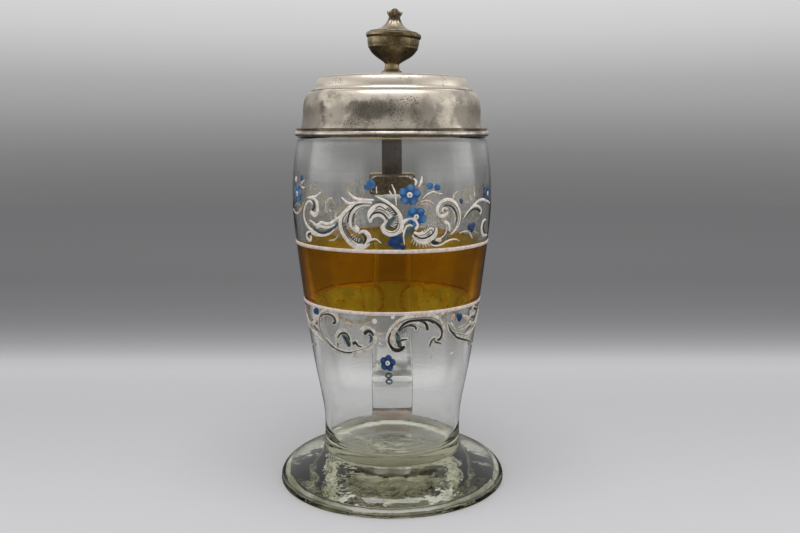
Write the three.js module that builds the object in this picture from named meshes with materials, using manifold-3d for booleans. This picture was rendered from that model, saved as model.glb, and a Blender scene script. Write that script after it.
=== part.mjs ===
// Enamelled glass tankard with a hinged pewter lid.
// Millimetres, +Z up. The origin is on the table under the vessel's axis.
// The front faces -Y, and the handle and the hinge are at the back, +Y.

import * as THREE from 'three';
import { mergeVertices } from 'three/addons/utils/BufferGeometryUtils.js';
import Module from 'manifold-3d';

const wasm = await Module();
wasm.setup();

// Clearances
const TOUCH_GAP = 0.3; // between glued or soldered pieces that meet on a curve
const LAYER_GAP = 0.1; // under a fired layer
const LID_REST_GAP = 0.2; // lid over the rim
const BORE_CLEARANCE = 0.08; // radial, hinge pin in its knuckles
const KNUCKLE_GAP = 0.3; // along the hinge axis
const SWING_GAP = 0.5; // round the knuckles

// Vessel outline: radius at a height, from the foot to the rim
const NECK_RADIUS = 38.7;
const NECK_HEIGHT = 40;
const FLARE_RADIUS = 42.2;
const FLARE_HEIGHT = 58.5;
const LOWER_RADIUS = 46.5;
const LOWER_HEIGHT = 84.5;
const MIDDLE_RADIUS = 50.2;
const MIDDLE_HEIGHT = 112;
const BELLY_RADIUS = 54.9;
const BELLY_DROP = 34; // below the rim
const SHOULDER_RADIUS = 54.2;
const SHOULDER_DROP = 17; // below the rim
const RIM_RADIUS = 51.6;
const RIM_HEIGHT = 193;
const NECK_WALL = 3.2;
const BAND_WALL = 5; // the wall is thickest at the stained band
const RIM_WALL = 2.7;
const FLOOR_THICKNESS = 3.2;
const FLOOR_KICK = 4; // rise of the floor at its middle
const FLOOR_FILLET = 5;

// Foot
const FOOT_RADIUS = 63.8;
const FOOT_HEIGHT = 18;
const FOOT_EDGE_ROUND = 1.2;
const FOOT_SWELL = 10; // how steeply the dome of the foot leaves its edge
const FOOT_COVE_RADIUS = 46;
const FOOT_COVE_HEIGHT = 13;
const FOOT_RING_WIDTH = 5; // ground ring that stands on the table
const FOOT_RECESS = 1.5;
const PONTIL_RADIUS = 12; // ground pad at the middle, level with the ring

// Stained band and the enamel lines at its edges
const BAND_DROP = 57.5; // top of the band below the rim
const BAND_WIDTH = 30.5;
const STAIN_DEPTH = 0.5;
const LINE_WIDTH = 2;
const LINE_RAISE = 0.4;

// Strap handle
const HANDLE_WIDTH = 27;
const HANDLE_THICKNESS = 7;
const HANDLE_REACH = 34.5; // from the belly to the middle of the strap
const SHOULDER_BEND = 25; // height of the bend at the top of the strap
const BEND_FULLNESS = 0.67;
const STRAP_FALL = 23; // upright stretch below the bend
const ELBOW_INSET = 19; // from the outermost line of the strap
const ELBOW_RISE = 27; // above the stretch that lies on the neck
const ELBOW_SLOPE = new THREE.Vector2(12, 18); // direction of the strap at the elbow
const KNEE_SOFTNESS = 14;
const ROOT_THICKNESS = 11;
const ROOT_DROP = 32.5; // middle of the upper root below the rim
const TAIL_THICKNESS = 8;
const TAIL_RISE = 2; // end of the tail above the foot, at its middle
const TAIL_LENGTH = 23; // stretch that lies along the neck
const TAIL_CURL = 7; // how far the end of the tail turns out
const HANDLE_BEVEL = 2;
const UPPER_TAPER = [0.1, 0.3]; // shares of the strap's length
const TAIL_TAPER = [0.7, 0.9];

// Pewter collar round the upper root, and the shank above it
const COLLAR_WALL = 1.1;
const COLLAR_LENGTH = 10.5;
const COLLAR_STANDOFF = 2.6; // from the belly
const COLLAR_CORNER = 2;
const SHANK_WIDTH = 12.6;
const SHANK_THICKNESS = 4.5;

// Lid, in steps from the rim up
const FLANGE_OVERHANG = 1.4; // past the rim
const FLANGE_THICKNESS = 4.4;
const BEAD_HEIGHT = 3;
const DOME_RADIUS = 49.6;
const DOME_HEIGHT = 24; // above the rim, where the shoulder ends
const DOME_SHOULDER = 9;
const DOME_TAPER = 1.2; // how much the wall leans in below the shoulder
const SHOULDER_FULLNESS = 0.66;
const LEDGE_RADIUS = 43.8;
const LEDGE_HEIGHT = 1.8;
const CROWN_BASE_RADIUS = 41.2;
const CROWN_RADIUS = 36.9;
const CROWN_HEIGHT = 6;
const LID_WALL = 2.3;
const LID_SEAT_WIDTH = 5.2; // flat underside that rests on the rim

// Hinge
const KNUCKLE_RADIUS = 4.8;
const KNUCKLE_WIDTH = 3.36;
const KNUCKLE_COUNT = 5;
const PIN_RADIUS = 1.5;
const PIN_HEAD_RADIUS = 2.6;
const PIN_HEAD_THICKNESS = 1;
const HINGE_STANDOFF = 3.2; // knuckles to flange
const HINGE_RISE = 4.6; // hinge axis above the rim

// Lid arm and the pedestal of the thumbpiece
const ARM_RISE = 5.4; // top of the arm above the hinge axis
const BRACE_RISE = 16; // where the arm's brace leaves the pedestal
const ARM_DROP = 2.6; // underside of the arm below the hinge axis
const ARM_OVERLAP = 6; // how far the arm runs onto the dome
const PEDESTAL_WIDTH = 12.4;
const PEDESTAL_WAIST = 8.4;
const PEDESTAL_DEPTH = 9;
const PLINTH_WIDTH = 13.6;
const PLINTH_DEPTH = 12.4;
const PLINTH_THICKNESS = 2.6;
const PLINTH_RISE = 33.6; // top of the plinth above the hinge axis

// Urn thumbpiece, heights above its plinth
const URN_FOOT_RADIUS = 6.2;
const URN_FOOT_THICKNESS = 1;
const STEM_RADIUS = 4.3;
const STEM_HEIGHT = 5.2;
const BOWL_RADIUS = 16.1;
const BOWL_HEIGHT = 20.6;
const BOWL_FLARE = new THREE.Vector2(3, 3.4); // where the bowl's curve leaves the stem
const BOWL_TURN_RISE = 4.6; // above the stem, where it turns upright
const URN_RIM_RADIUS = 16.8;
const URN_RIM_THICKNESS = 3;
const COVER_INSET = 1; // inside the bowl's radius
const COVER_BROW = new THREE.Vector2(4, 1); // bends of its curve, out from the neck and up
const COVER_HOLLOW = new THREE.Vector2(2, 5);
const COVER_NECK_RADIUS = 2.4;
const COVER_NECK_HEIGHT = 9.2; // above the urn's rim
const BUD_RADIUS = 4.7;
const BUD_HEIGHT = 11.8;
const TIP_RADIUS = 1.9;
const TIP_HEIGHT = 14.7;
const URN_LEAN = THREE.MathUtils.degToRad(3); // the soft stem is bent to the right

// Facets
const ROUND_STEPS = 48;
const SMALL_STEPS = 24;
const CURVE_STEPS = 4;
const FOOT_EDGE_STEPS = 2;
const OUTLINE_STEP = 10.5; // height of a facet of the vessel
const INSIDE_STEP = 16;
const HANDLE_STEPS = 40;
const MERGE_DISTANCE = 1e-4;

// Places that follow from the sizes
const bellyHeight = RIM_HEIGHT - BELLY_DROP;
const flangeRadius = RIM_RADIUS + FLANGE_OVERHANG;
const lidBottom = RIM_HEIGHT + LID_REST_GAP;
const hingeY = flangeRadius + HINGE_STANDOFF + KNUCKLE_RADIUS;
const hingeZ = RIM_HEIGHT + HINGE_RISE;
const bandTop = RIM_HEIGHT - BAND_DROP;
const bandBottom = bandTop - BAND_WIDTH;
const rootZ = RIM_HEIGHT - ROOT_DROP;
const tailZ = FOOT_HEIGHT + TAIL_RISE;
const collarTop = rootZ + ROOT_THICKNESS / 2 + TOUCH_GAP + COLLAR_WALL;
const collarStart = BELLY_RADIUS + COLLAR_STANDOFF;
const collarEnd = collarStart + COLLAR_LENGTH;
const knucklePitch = KNUCKLE_WIDTH + KNUCKLE_GAP;
const barrelLength = KNUCKLE_COUNT * knucklePitch - KNUCKLE_GAP;
const plinthTop = hingeZ + PLINTH_RISE;
const urnRimTop = plinthTop + BOWL_HEIGHT + URN_RIM_THICKNESS;
const domeTop = lidBottom + DOME_HEIGHT;
const crownBottom = domeTop + LEDGE_HEIGHT;
const crownTop = crownBottom + CROWN_HEIGHT;

const vesselOutline = new THREE.CubicInterpolant(
  [FOOT_HEIGHT, NECK_HEIGHT, FLARE_HEIGHT, LOWER_HEIGHT, MIDDLE_HEIGHT,
    bellyHeight, RIM_HEIGHT - SHOULDER_DROP, RIM_HEIGHT],
  [NECK_RADIUS, NECK_RADIUS, FLARE_RADIUS, LOWER_RADIUS, MIDDLE_RADIUS,
    BELLY_RADIUS, SHOULDER_RADIUS, RIM_RADIUS],
  1,
);

// Outside radius of the vessel at a height
function vesselRadius(height) {
  return vesselOutline.evaluate(height)[0];
}

// Thickness of the vessel's wall at a height
function wallThickness(height) {
  const { lerp, smoothstep } = THREE.MathUtils;
  const lower = lerp(NECK_WALL, BAND_WALL, smoothstep(height, NECK_HEIGHT, bandBottom));
  return lerp(lower, RIM_WALL, smoothstep(height, bandTop, RIM_HEIGHT));
}

// Heights from one to another, in even steps near the given one
function heights(from, to, step = OUTLINE_STEP) {
  const count = Math.max(1, Math.round((to - from) / step));
  return Array.from({ length: count + 1 }, (_, i) => THREE.MathUtils.lerp(from, to, i / count));
}

// Closed solid of a three.js geometry
function solidOf(geometry) {
  const shape = geometry.clone();
  shape.deleteAttribute('normal');
  shape.deleteAttribute('uv');
  const merged = mergeVertices(shape, MERGE_DISTANCE);
  const index = merged.index.array;
  const triangles = [];
  for (let i = 0; i < index.length; i += 3) {
    const [a, b, c] = index.subarray(i, i + 3);
    if (a !== b && b !== c && c !== a) triangles.push(a, b, c);
  }
  return new wasm.Manifold(new wasm.Mesh({
    numProp: 3,
    vertProperties: merged.attributes.position.array,
    triVerts: new Uint32Array(triangles),
  }));
}

// Geometry of a closed solid
function geometryOf(solid) {
  const mesh = solid.getMesh();
  const geometry = new THREE.BufferGeometry();
  geometry.setAttribute('position', new THREE.BufferAttribute(mesh.vertProperties, 3));
  geometry.setIndex(new THREE.BufferAttribute(mesh.triVerts, 1));
  geometry.computeVertexNormals();
  return geometry;
}

// Solid turned about the Z axis from an anticlockwise outline of [radius, height] points
function turned(outline, steps = ROUND_STEPS) {
  const points = outline.map(([radius, height]) => new THREE.Vector2(radius, height));
  const closed = points[0].x > 0 || points.at(-1).x > 0;
  if (closed) points.push(points[0].clone());
  return solidOf(new THREE.LatheGeometry(points, steps).rotateX(Math.PI / 2));
}

// [radius, height] points along a three.js path
function pathPoints(path, divisions = CURVE_STEPS) {
  return path.getPoints(divisions).map((point) => [point.x, point.y]);
}

// Cylinder along X, centred on the hinge axis
function hingeCylinder(radius, length, x = 0) {
  const cylinder = new THREE.CylinderGeometry(radius, radius, length, SMALL_STEPS);
  return solidOf(cylinder.rotateZ(Math.PI / 2).translate(x, hingeY, hingeZ));
}

// Box between two corners
function block(low, high) {
  const size = new THREE.Vector3().subVectors(high, low);
  const middle = new THREE.Vector3().addVectors(low, high).multiplyScalar(0.5);
  return solidOf(new THREE.BoxGeometry(size.x, size.y, size.z).translate(middle.x, middle.y, middle.z));
}

// Side outline in (Y, Z) made a solid of a given width across X
function acrossX(shape, width, bevel = 0) {
  const geometry = new THREE.ExtrudeGeometry(shape, {
    depth: width - 2 * bevel,
    bevelEnabled: bevel > 0,
    bevelThickness: bevel,
    bevelSize: bevel,
    bevelOffset: -bevel,
    bevelSegments: 2,
    curveSegments: CURVE_STEPS,
  });
  geometry.translate(0, 0, bevel - width / 2);
  const turn = new THREE.Matrix4().makeBasis(
    new THREE.Vector3(0, 1, 0), new THREE.Vector3(0, 0, 1), new THREE.Vector3(1, 0, 0));
  return solidOf(geometry.applyMatrix4(turn));
}

// Front outline in (X, Z) made a solid from one Y to another
function alongY(shape, from, to) {
  const geometry = new THREE.ExtrudeGeometry(shape, {
    depth: to - from,
    bevelEnabled: false,
    curveSegments: CURVE_STEPS,
  });
  return solidOf(geometry.rotateX(Math.PI / 2).translate(0, to, 0));
}

// Middle of a knuckle along the hinge, counted from the left
function knuckleX(place) {
  return (place - (KNUCKLE_COUNT - 1) / 2) * knucklePitch;
}

// Knuckles at every second place, from the first one given
function knuckles(first) {
  const places = [];
  for (let place = first; place < KNUCKLE_COUNT; place += 2) places.push(place);
  return places.map(knuckleX);
}

// Space that the other leaf's knuckles turn in
function knuckleSpace(first) {
  const width = KNUCKLE_WIDTH + 2 * KNUCKLE_GAP;
  return wasm.Manifold.union(
    knuckles(first).map((x) => hingeCylinder(KNUCKLE_RADIUS + SWING_GAP, width, x)));
}

// Leaf of the hinge: a body cut free of the other leaf, with its own knuckles and their bore
function hingeLeaf(body, own, other) {
  const rings = knuckles(own).map((x) => hingeCylinder(KNUCKLE_RADIUS, KNUCKLE_WIDTH, x));
  const bore = hingeCylinder(PIN_RADIUS + BORE_CLEARANCE, 2 * barrelLength);
  return wasm.Manifold.union([body.subtract(knuckleSpace(other)), ...rings]).subtract(bore);
}

// Solid inside the vessel's outside face, let out by a gap
function vesselEnvelope(gap) {
  const top = RIM_HEIGHT + RIM_WALL;
  const side = heights(0, top).map((z) => [vesselRadius(z) + gap, z]);
  return turned([[0, 0], ...side, [0, top]]);
}

// Blown vessel with a flat seat for the foot and a shallow recess for the stained band
function vessel() {
  const lineBottom = bandBottom - LINE_WIDTH;
  const lineTop = bandTop + LINE_WIDTH;
  const recess = STAIN_DEPTH + LAYER_GAP;
  const full = (z) => [vesselRadius(z), z];
  const outside = [
    ...heights(FOOT_HEIGHT, lineBottom).map(full),
    full(bandBottom),
    ...heights(bandBottom, bandTop).map((z) => [vesselRadius(z) - recess, z]),
    full(bandTop),
    ...heights(lineTop, RIM_HEIGHT).map(full),
  ];
  const floorTop = FOOT_HEIGHT + FLOOR_THICKNESS;
  const wallFoot = floorTop + FLOOR_FILLET;
  const inside = heights(wallFoot, RIM_HEIGHT, INSIDE_STEP)
    .map((z) => [vesselRadius(z) - wallThickness(z), z]).reverse();
  const floorRadius = NECK_RADIUS - NECK_WALL;
  const floor = new THREE.Path();
  floor.moveTo(vesselRadius(wallFoot) - wallThickness(wallFoot), wallFoot);
  floor.quadraticCurveTo(floorRadius, floorTop, floorRadius - FLOOR_FILLET, floorTop);
  floor.bezierCurveTo(NECK_RADIUS / 2, floorTop, NECK_RADIUS / 4, floorTop + FLOOR_KICK,
    0, floorTop + FLOOR_KICK);
  return turned([[0, FOOT_HEIGHT], ...outside, ...inside, ...pathPoints(floor).slice(1)]);
}

// Applied foot: a thick disc that rises to the neck, ground flat on a ring and on its pontil pad
function foot() {
  const ringOuter = FOOT_RADIUS - FOOT_EDGE_ROUND;
  const ringInner = ringOuter - FOOT_RING_WIDTH;
  const outline = new THREE.Path();
  outline.moveTo(0, 0);
  outline.lineTo(PONTIL_RADIUS, 0);
  outline.lineTo(PONTIL_RADIUS + FOOT_RECESS, FOOT_RECESS);
  outline.lineTo(ringInner - FOOT_RECESS, FOOT_RECESS);
  outline.lineTo(ringInner, 0);
  outline.lineTo(ringOuter, 0);
  outline.quadraticCurveTo(FOOT_RADIUS, 0, FOOT_RADIUS, FOOT_EDGE_ROUND);
  const edge = pathPoints(outline, FOOT_EDGE_STEPS);
  const dome = new THREE.Path();
  dome.moveTo(FOOT_RADIUS, FOOT_EDGE_ROUND);
  dome.bezierCurveTo(FOOT_RADIUS, FOOT_SWELL, FOOT_COVE_RADIUS, FOOT_COVE_HEIGHT,
    NECK_RADIUS, FOOT_HEIGHT);
  dome.lineTo(0, FOOT_HEIGHT);
  return turned([...edge, ...pathPoints(dome, 2 * CURVE_STEPS).slice(1)]);
}

// Layer that follows the vessel's outside between two heights
function layer(bottom, top, inner, outer) {
  const levels = heights(bottom, top);
  const outside = levels.map((z) => [vesselRadius(z) + outer, z]);
  const inside = levels.map((z) => [vesselRadius(z) + inner, z]).reverse();
  return turned([...outside, ...inside]);
}

// Amber stain fired into the glass
function amberBand() {
  return layer(bandBottom + LAYER_GAP, bandTop - LAYER_GAP, -STAIN_DEPTH, 0);
}

// White enamel line that lies on the glass above or below the band
function enamelLine(bottom) {
  return layer(bottom, bottom + LINE_WIDTH, LAYER_GAP, LAYER_GAP + LINE_RAISE);
}

// Middle line of the strap, from inside the belly round to the end of the tail
function handleLine() {
  const { lerp } = THREE.MathUtils;
  const strapY = BELLY_RADIUS + HANDLE_REACH;
  const bendEnd = rootZ - SHOULDER_BEND;
  const tailY = NECK_RADIUS + TOUCH_GAP + TAIL_THICKNESS / 2;
  const tailTop = tailZ + TAIL_LENGTH;
  const elbow = new THREE.Vector2(strapY - ELBOW_INSET, tailTop + ELBOW_RISE);
  const above = elbow.clone().add(ELBOW_SLOPE);
  const below = elbow.clone().sub(ELBOW_SLOPE);
  const line = new THREE.Path();
  line.moveTo(BELLY_RADIUS - RIM_WALL, rootZ);
  line.lineTo(collarEnd, rootZ);
  line.bezierCurveTo(lerp(collarEnd, strapY, BEND_FULLNESS), rootZ,
    strapY, lerp(bendEnd, rootZ, BEND_FULLNESS), strapY, bendEnd);
  line.bezierCurveTo(strapY, bendEnd - STRAP_FALL, above.x, above.y, elbow.x, elbow.y);
  line.bezierCurveTo(below.x, below.y, tailY, tailTop + KNEE_SOFTNESS, tailY, tailTop);
  line.lineTo(tailY, tailZ + TAIL_CURL);
  line.quadraticCurveTo(tailY, tailZ, tailY + TAIL_CURL, tailZ);
  return line;
}

// Thickness of the strap at a share of its length
function strapThickness(share) {
  const { lerp, smoothstep } = THREE.MathUtils;
  const upper = lerp(ROOT_THICKNESS, HANDLE_THICKNESS, smoothstep(share, ...UPPER_TAPER));
  return lerp(upper, TAIL_THICKNESS, smoothstep(share, ...TAIL_TAPER));
}

// Strap handle, cut free of the vessel's wall
function handle() {
  const count = HANDLE_STEPS;
  const middle = handleLine().getSpacedPoints(count);
  const outer = [];
  const inner = [];
  middle.forEach((point, i) => {
    const before = middle[Math.max(i - 1, 0)];
    const after = middle[Math.min(i + 1, count)];
    const across = new THREE.Vector2(before.y - after.y, after.x - before.x).normalize();
    const half = strapThickness(i / count) / 2;
    outer.push(point.clone().addScaledVector(across, half));
    inner.push(point.clone().addScaledVector(across, -half));
  });
  const shape = new THREE.Shape(outer);
  const end = middle[count];
  const endAngle = Math.atan2(outer[count].y - end.y, outer[count].x - end.x);
  shape.absarc(end.x, end.y, TAIL_THICKNESS / 2, endAngle, endAngle - Math.PI, true);
  inner.reverse().slice(1).forEach((point) => shape.lineTo(point.x, point.y));
  return acrossX(shape, HANDLE_WIDTH, HANDLE_BEVEL).subtract(vesselEnvelope(TOUCH_GAP));
}

// Closed rectangle with rounded corners, centred on a height
function roundedFrame(target, width, height, corner, middle) {
  const x = width / 2;
  const top = middle + height / 2;
  const bottom = middle - height / 2;
  target.moveTo(-x + corner, bottom);
  target.lineTo(x - corner, bottom);
  target.quadraticCurveTo(x, bottom, x, bottom + corner);
  target.lineTo(x, top - corner);
  target.quadraticCurveTo(x, top, x - corner, top);
  target.lineTo(-x + corner, top);
  target.quadraticCurveTo(-x, top, -x, top - corner);
  target.lineTo(-x, bottom + corner);
  target.quadraticCurveTo(-x, bottom, -x + corner, bottom);
  return target;
}

// Pewter band bent round the upper root of the handle
function collar() {
  const innerWidth = HANDLE_WIDTH + 2 * TOUCH_GAP;
  const innerHeight = ROOT_THICKNESS + 2 * TOUCH_GAP;
  const ring = roundedFrame(new THREE.Shape(), innerWidth + 2 * COLLAR_WALL,
    innerHeight + 2 * COLLAR_WALL, COLLAR_CORNER, rootZ);
  ring.holes.push(roundedFrame(new THREE.Path(), innerWidth, innerHeight,
    COLLAR_CORNER - COLLAR_WALL, rootZ));
  return alongY(ring, collarStart, collarEnd);
}

// Upright strap from the collar to the hinge, with the outer and middle knuckles
function shank() {
  const half = SHANK_WIDTH / 2;
  const head = barrelLength / 2;
  const shoulder = hingeZ - KNUCKLE_RADIUS;
  const front = new THREE.Shape();
  front.moveTo(-half, collarTop);
  front.lineTo(half, collarTop);
  front.lineTo(half, shoulder - KNUCKLE_GAP);
  front.quadraticCurveTo(half, shoulder, head, shoulder + KNUCKLE_GAP);
  front.lineTo(head, hingeZ);
  front.lineTo(-head, hingeZ);
  front.lineTo(-head, shoulder + KNUCKLE_GAP);
  front.quadraticCurveTo(-half, shoulder, -half, shoulder - KNUCKLE_GAP);
  const plate = alongY(front, hingeY - SHANK_THICKNESS / 2, hingeY + SHANK_THICKNESS / 2);
  return hingeLeaf(plate, 0, 1);
}

// Hinge pin with a flat head peened over at each end
function pin() {
  const shaft = hingeCylinder(PIN_RADIUS, barrelLength + 2 * KNUCKLE_GAP);
  const headX = barrelLength / 2 + KNUCKLE_GAP + PIN_HEAD_THICKNESS / 2;
  return wasm.Manifold.union([
    shaft,
    hingeCylinder(PIN_HEAD_RADIUS, PIN_HEAD_THICKNESS, -headX),
    hingeCylinder(PIN_HEAD_RADIUS, PIN_HEAD_THICKNESS, headX),
  ]);
}

// Outside of the lid from the flange's underside to the middle of the crown
function lidOutside() {
  const { lerp } = THREE.MathUtils;
  const bead = BEAD_HEIGHT / 2;
  const flangeTop = lidBottom + FLANGE_THICKNESS;
  const path = new THREE.Path();
  path.moveTo(flangeRadius - bead, lidBottom);
  path.absarc(flangeRadius - bead, lidBottom + bead, bead, -Math.PI / 2, Math.PI / 3, false);
  path.lineTo(flangeRadius - bead / 2, flangeTop - bead / 2);
  path.lineTo(flangeRadius - bead / 2, flangeTop);
  path.lineTo(DOME_RADIUS, flangeTop);
  const wallTop = DOME_RADIUS - DOME_TAPER;
  path.lineTo(wallTop, domeTop - DOME_SHOULDER);
  path.bezierCurveTo(wallTop, lerp(domeTop - DOME_SHOULDER, domeTop, SHOULDER_FULLNESS),
    lerp(LEDGE_RADIUS, wallTop, SHOULDER_FULLNESS), domeTop, LEDGE_RADIUS, domeTop);
  path.lineTo(LEDGE_RADIUS, domeTop + LEDGE_HEIGHT / 2);
  path.lineTo(CROWN_BASE_RADIUS, crownBottom);
  path.bezierCurveTo(CROWN_BASE_RADIUS, lerp(crownBottom, crownTop, SHOULDER_FULLNESS),
    lerp(CROWN_RADIUS, CROWN_BASE_RADIUS, SHOULDER_FULLNESS), crownTop, CROWN_RADIUS, crownTop);
  path.lineTo(0, crownTop);
  return pathPoints(path, CURVE_STEPS - 1);
}

// Hollow pewter lid
function lidShell() {
  const seatInner = flangeRadius - BEAD_HEIGHT / 2 - LID_SEAT_WIDTH;
  const path = new THREE.Path();
  path.moveTo(0, crownTop - LID_WALL);
  path.lineTo(CROWN_RADIUS - LID_WALL, crownTop - LID_WALL);
  path.quadraticCurveTo(CROWN_BASE_RADIUS - LID_WALL, crownTop - LID_WALL,
    CROWN_BASE_RADIUS - LID_WALL, crownBottom - LID_WALL);
  path.quadraticCurveTo(seatInner, crownBottom - LID_WALL,
    seatInner, domeTop - DOME_SHOULDER - LID_WALL);
  path.lineTo(seatInner, lidBottom);
  return turned([...lidOutside(), ...pathPoints(path, CURVE_STEPS - 2)]);
}

// Solid inside the lid's outside face, let out by a gap
function lidEnvelope(gap) {
  const grown = lidOutside().map(([radius, z]) => [radius > 0 ? radius + gap : 0, z + gap]);
  return turned([[0, lidBottom - gap], [flangeRadius, lidBottom - gap], ...grown.slice(1)]);
}

// Arm soldered to the lid, with two knuckles and the pedestal of the thumbpiece
function lidArm() {
  const armWidth = 2 * knucklePitch + KNUCKLE_WIDTH;
  const armEnd = DOME_RADIUS - ARM_OVERLAP;
  const pedestalFront = hingeY - PEDESTAL_DEPTH / 2;
  const side = new THREE.Shape();
  side.moveTo(armEnd, hingeZ - ARM_DROP);
  side.lineTo(hingeY, hingeZ - ARM_DROP);
  side.lineTo(hingeY, hingeZ + BRACE_RISE);
  side.lineTo(pedestalFront, hingeZ + BRACE_RISE);
  side.quadraticCurveTo(pedestalFront, hingeZ + ARM_RISE, armEnd, hingeZ + ARM_RISE);
  const tongue = acrossX(side, armWidth);
  const foot = hingeZ + KNUCKLE_RADIUS + SWING_GAP;
  const plinthBottom = plinthTop - PLINTH_THICKNESS;
  const middle = (foot + plinthBottom) / 2;
  const half = PEDESTAL_WIDTH / 2;
  const waist = PEDESTAL_WAIST - half;
  const front = new THREE.Shape();
  front.moveTo(-half, foot);
  front.lineTo(half, foot);
  front.quadraticCurveTo(waist, middle, half, plinthBottom);
  front.lineTo(-half, plinthBottom);
  front.quadraticCurveTo(-waist, middle, -half, foot);
  const pedestal = alongY(front, hingeY - PEDESTAL_DEPTH / 2, hingeY + PEDESTAL_DEPTH / 2);
  const plinth = block(
    new THREE.Vector3(-PLINTH_WIDTH / 2, hingeY - PLINTH_DEPTH / 2, plinthBottom),
    new THREE.Vector3(PLINTH_WIDTH / 2, hingeY + PLINTH_DEPTH / 2, plinthTop));
  const body = wasm.Manifold.union([tongue, pedestal, plinth]).subtract(lidEnvelope(TOUCH_GAP));
  return hingeLeaf(body, 1, 0);
}

// Thumbpiece turned about its own upright axis, then bent to the right above the foot of its stem
function bentUrn(outline) {
  const start = plinthTop + URN_FOOT_THICKNESS;
  const geometry = geometryOf(turned(outline, SMALL_STEPS));
  const position = geometry.attributes.position;
  const point = new THREE.Vector3();
  const axis = new THREE.Vector3(0, 1, 0);
  for (let i = 0; i < position.count; i += 1) {
    point.fromBufferAttribute(position, i);
    const bend = URN_LEAN * THREE.MathUtils.smoothstep(point.z, start, start + STEM_HEIGHT);
    point.z -= start;
    point.applyAxisAngle(axis, bend);
    position.setXYZ(i, point.x, point.y + hingeY, point.z + start);
  }
  geometry.computeVertexNormals();
  return geometry;
}

// Foot, stem and bowl of the urn
function urnBowl() {
  const path = new THREE.Path();
  const stemTop = plinthTop + STEM_HEIGHT;
  const bowlTop = plinthTop + BOWL_HEIGHT;
  path.moveTo(0, plinthTop);
  path.lineTo(URN_FOOT_RADIUS, plinthTop);
  path.lineTo(URN_FOOT_RADIUS, plinthTop + URN_FOOT_THICKNESS);
  path.quadraticCurveTo(STEM_RADIUS, plinthTop + URN_FOOT_THICKNESS, STEM_RADIUS, stemTop);
  path.bezierCurveTo(STEM_RADIUS + BOWL_FLARE.x, stemTop + BOWL_FLARE.y,
    BOWL_RADIUS, stemTop + BOWL_TURN_RISE, BOWL_RADIUS, bowlTop);
  path.lineTo(URN_RIM_RADIUS, bowlTop + URN_RIM_THICKNESS / 4);
  path.lineTo(URN_RIM_RADIUS, urnRimTop - URN_RIM_THICKNESS / 4);
  path.lineTo(BOWL_RADIUS, urnRimTop);
  path.lineTo(0, urnRimTop);
  return bentUrn(pathPoints(path));
}

// Cover of the urn with its bud
function urnCover() {
  const seat = urnRimTop + TOUCH_GAP;
  const path = new THREE.Path();
  path.moveTo(0, seat);
  path.lineTo(BOWL_RADIUS - COVER_INSET, seat);
  path.bezierCurveTo(COVER_NECK_RADIUS + COVER_BROW.x, seat + COVER_BROW.y,
    COVER_NECK_RADIUS + COVER_HOLLOW.x, seat + COVER_HOLLOW.y,
    COVER_NECK_RADIUS, urnRimTop + COVER_NECK_HEIGHT);
  path.lineTo(BUD_RADIUS, urnRimTop + BUD_HEIGHT);
  path.lineTo(TIP_RADIUS, urnRimTop + BUD_HEIGHT + (TIP_HEIGHT - BUD_HEIGHT) / 3);
  path.quadraticCurveTo(TIP_RADIUS, urnRimTop + TIP_HEIGHT, 0, urnRimTop + TIP_HEIGHT);
  return bentUrn(pathPoints(path));
}

// Finishes
function finish(color, roughness, metalness, opacity = 1) {
  return new THREE.MeshStandardMaterial({
    color, roughness, metalness, opacity, transparent: opacity < 1,
  });
}

const clearGlass = finish(0xc9d2c6, 0.05, 0, 0.35);
const footGlass = finish(0x9aa590, 0.05, 0, 0.45);
const amberGlass = finish(0xb4761a, 0.1, 0, 0.6);
const whiteEnamel = finish(0xe2d6cc, 0.35, 0);
const pewter = finish(0x9a9182, 0.4, 0.9);
const darkPewter = finish(0x6a6252, 0.45, 0.9);
const steel = finish(0x777572, 0.4, 0.9);

const tankard = new THREE.Group();
tankard.name = 'tankard';

// Adds one named piece
function add(name, shape, material) {
  const geometry = shape.isBufferGeometry ? shape : geometryOf(shape);
  const mesh = new THREE.Mesh(geometry, material);
  mesh.name = name;
  tankard.add(mesh);
}

add('glass_body', vessel(), clearGlass);
add('glass_foot', foot(), footGlass);
add('glass_handle', handle(), clearGlass);
add('amber_band', amberBand(), amberGlass);
add('enamel_line_lower', enamelLine(bandBottom - LINE_WIDTH), whiteEnamel);
add('enamel_line_upper', enamelLine(bandTop), whiteEnamel);
add('handle_collar', collar(), darkPewter);
add('hinge_shank', shank(), darkPewter);
add('hinge_pin', pin(), steel);
add('lid_shell', lidShell(), pewter);
add('lid_arm', lidArm(), pewter);
add('thumbpiece_urn', urnBowl(), darkPewter);
add('thumbpiece_cover', urnCover(), pewter);

export default tankard;
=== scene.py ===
"""Dressed visual model of a lidded glass tankard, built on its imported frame.

Sizes in the classes are millimetres in the frame of the CAD model: +Z up along the vessel's
axis, +Y towards the handle, +X to the right seen from the front. Meshes are made in metres.
"""

import logging
import math
from dataclasses import dataclass, replace
from enum import Enum
from typing import Any, Callable, Iterable, Sequence

import bmesh
import bpy
import numpy as np
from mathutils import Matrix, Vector
from mathutils.bvhtree import BVHTree


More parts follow.
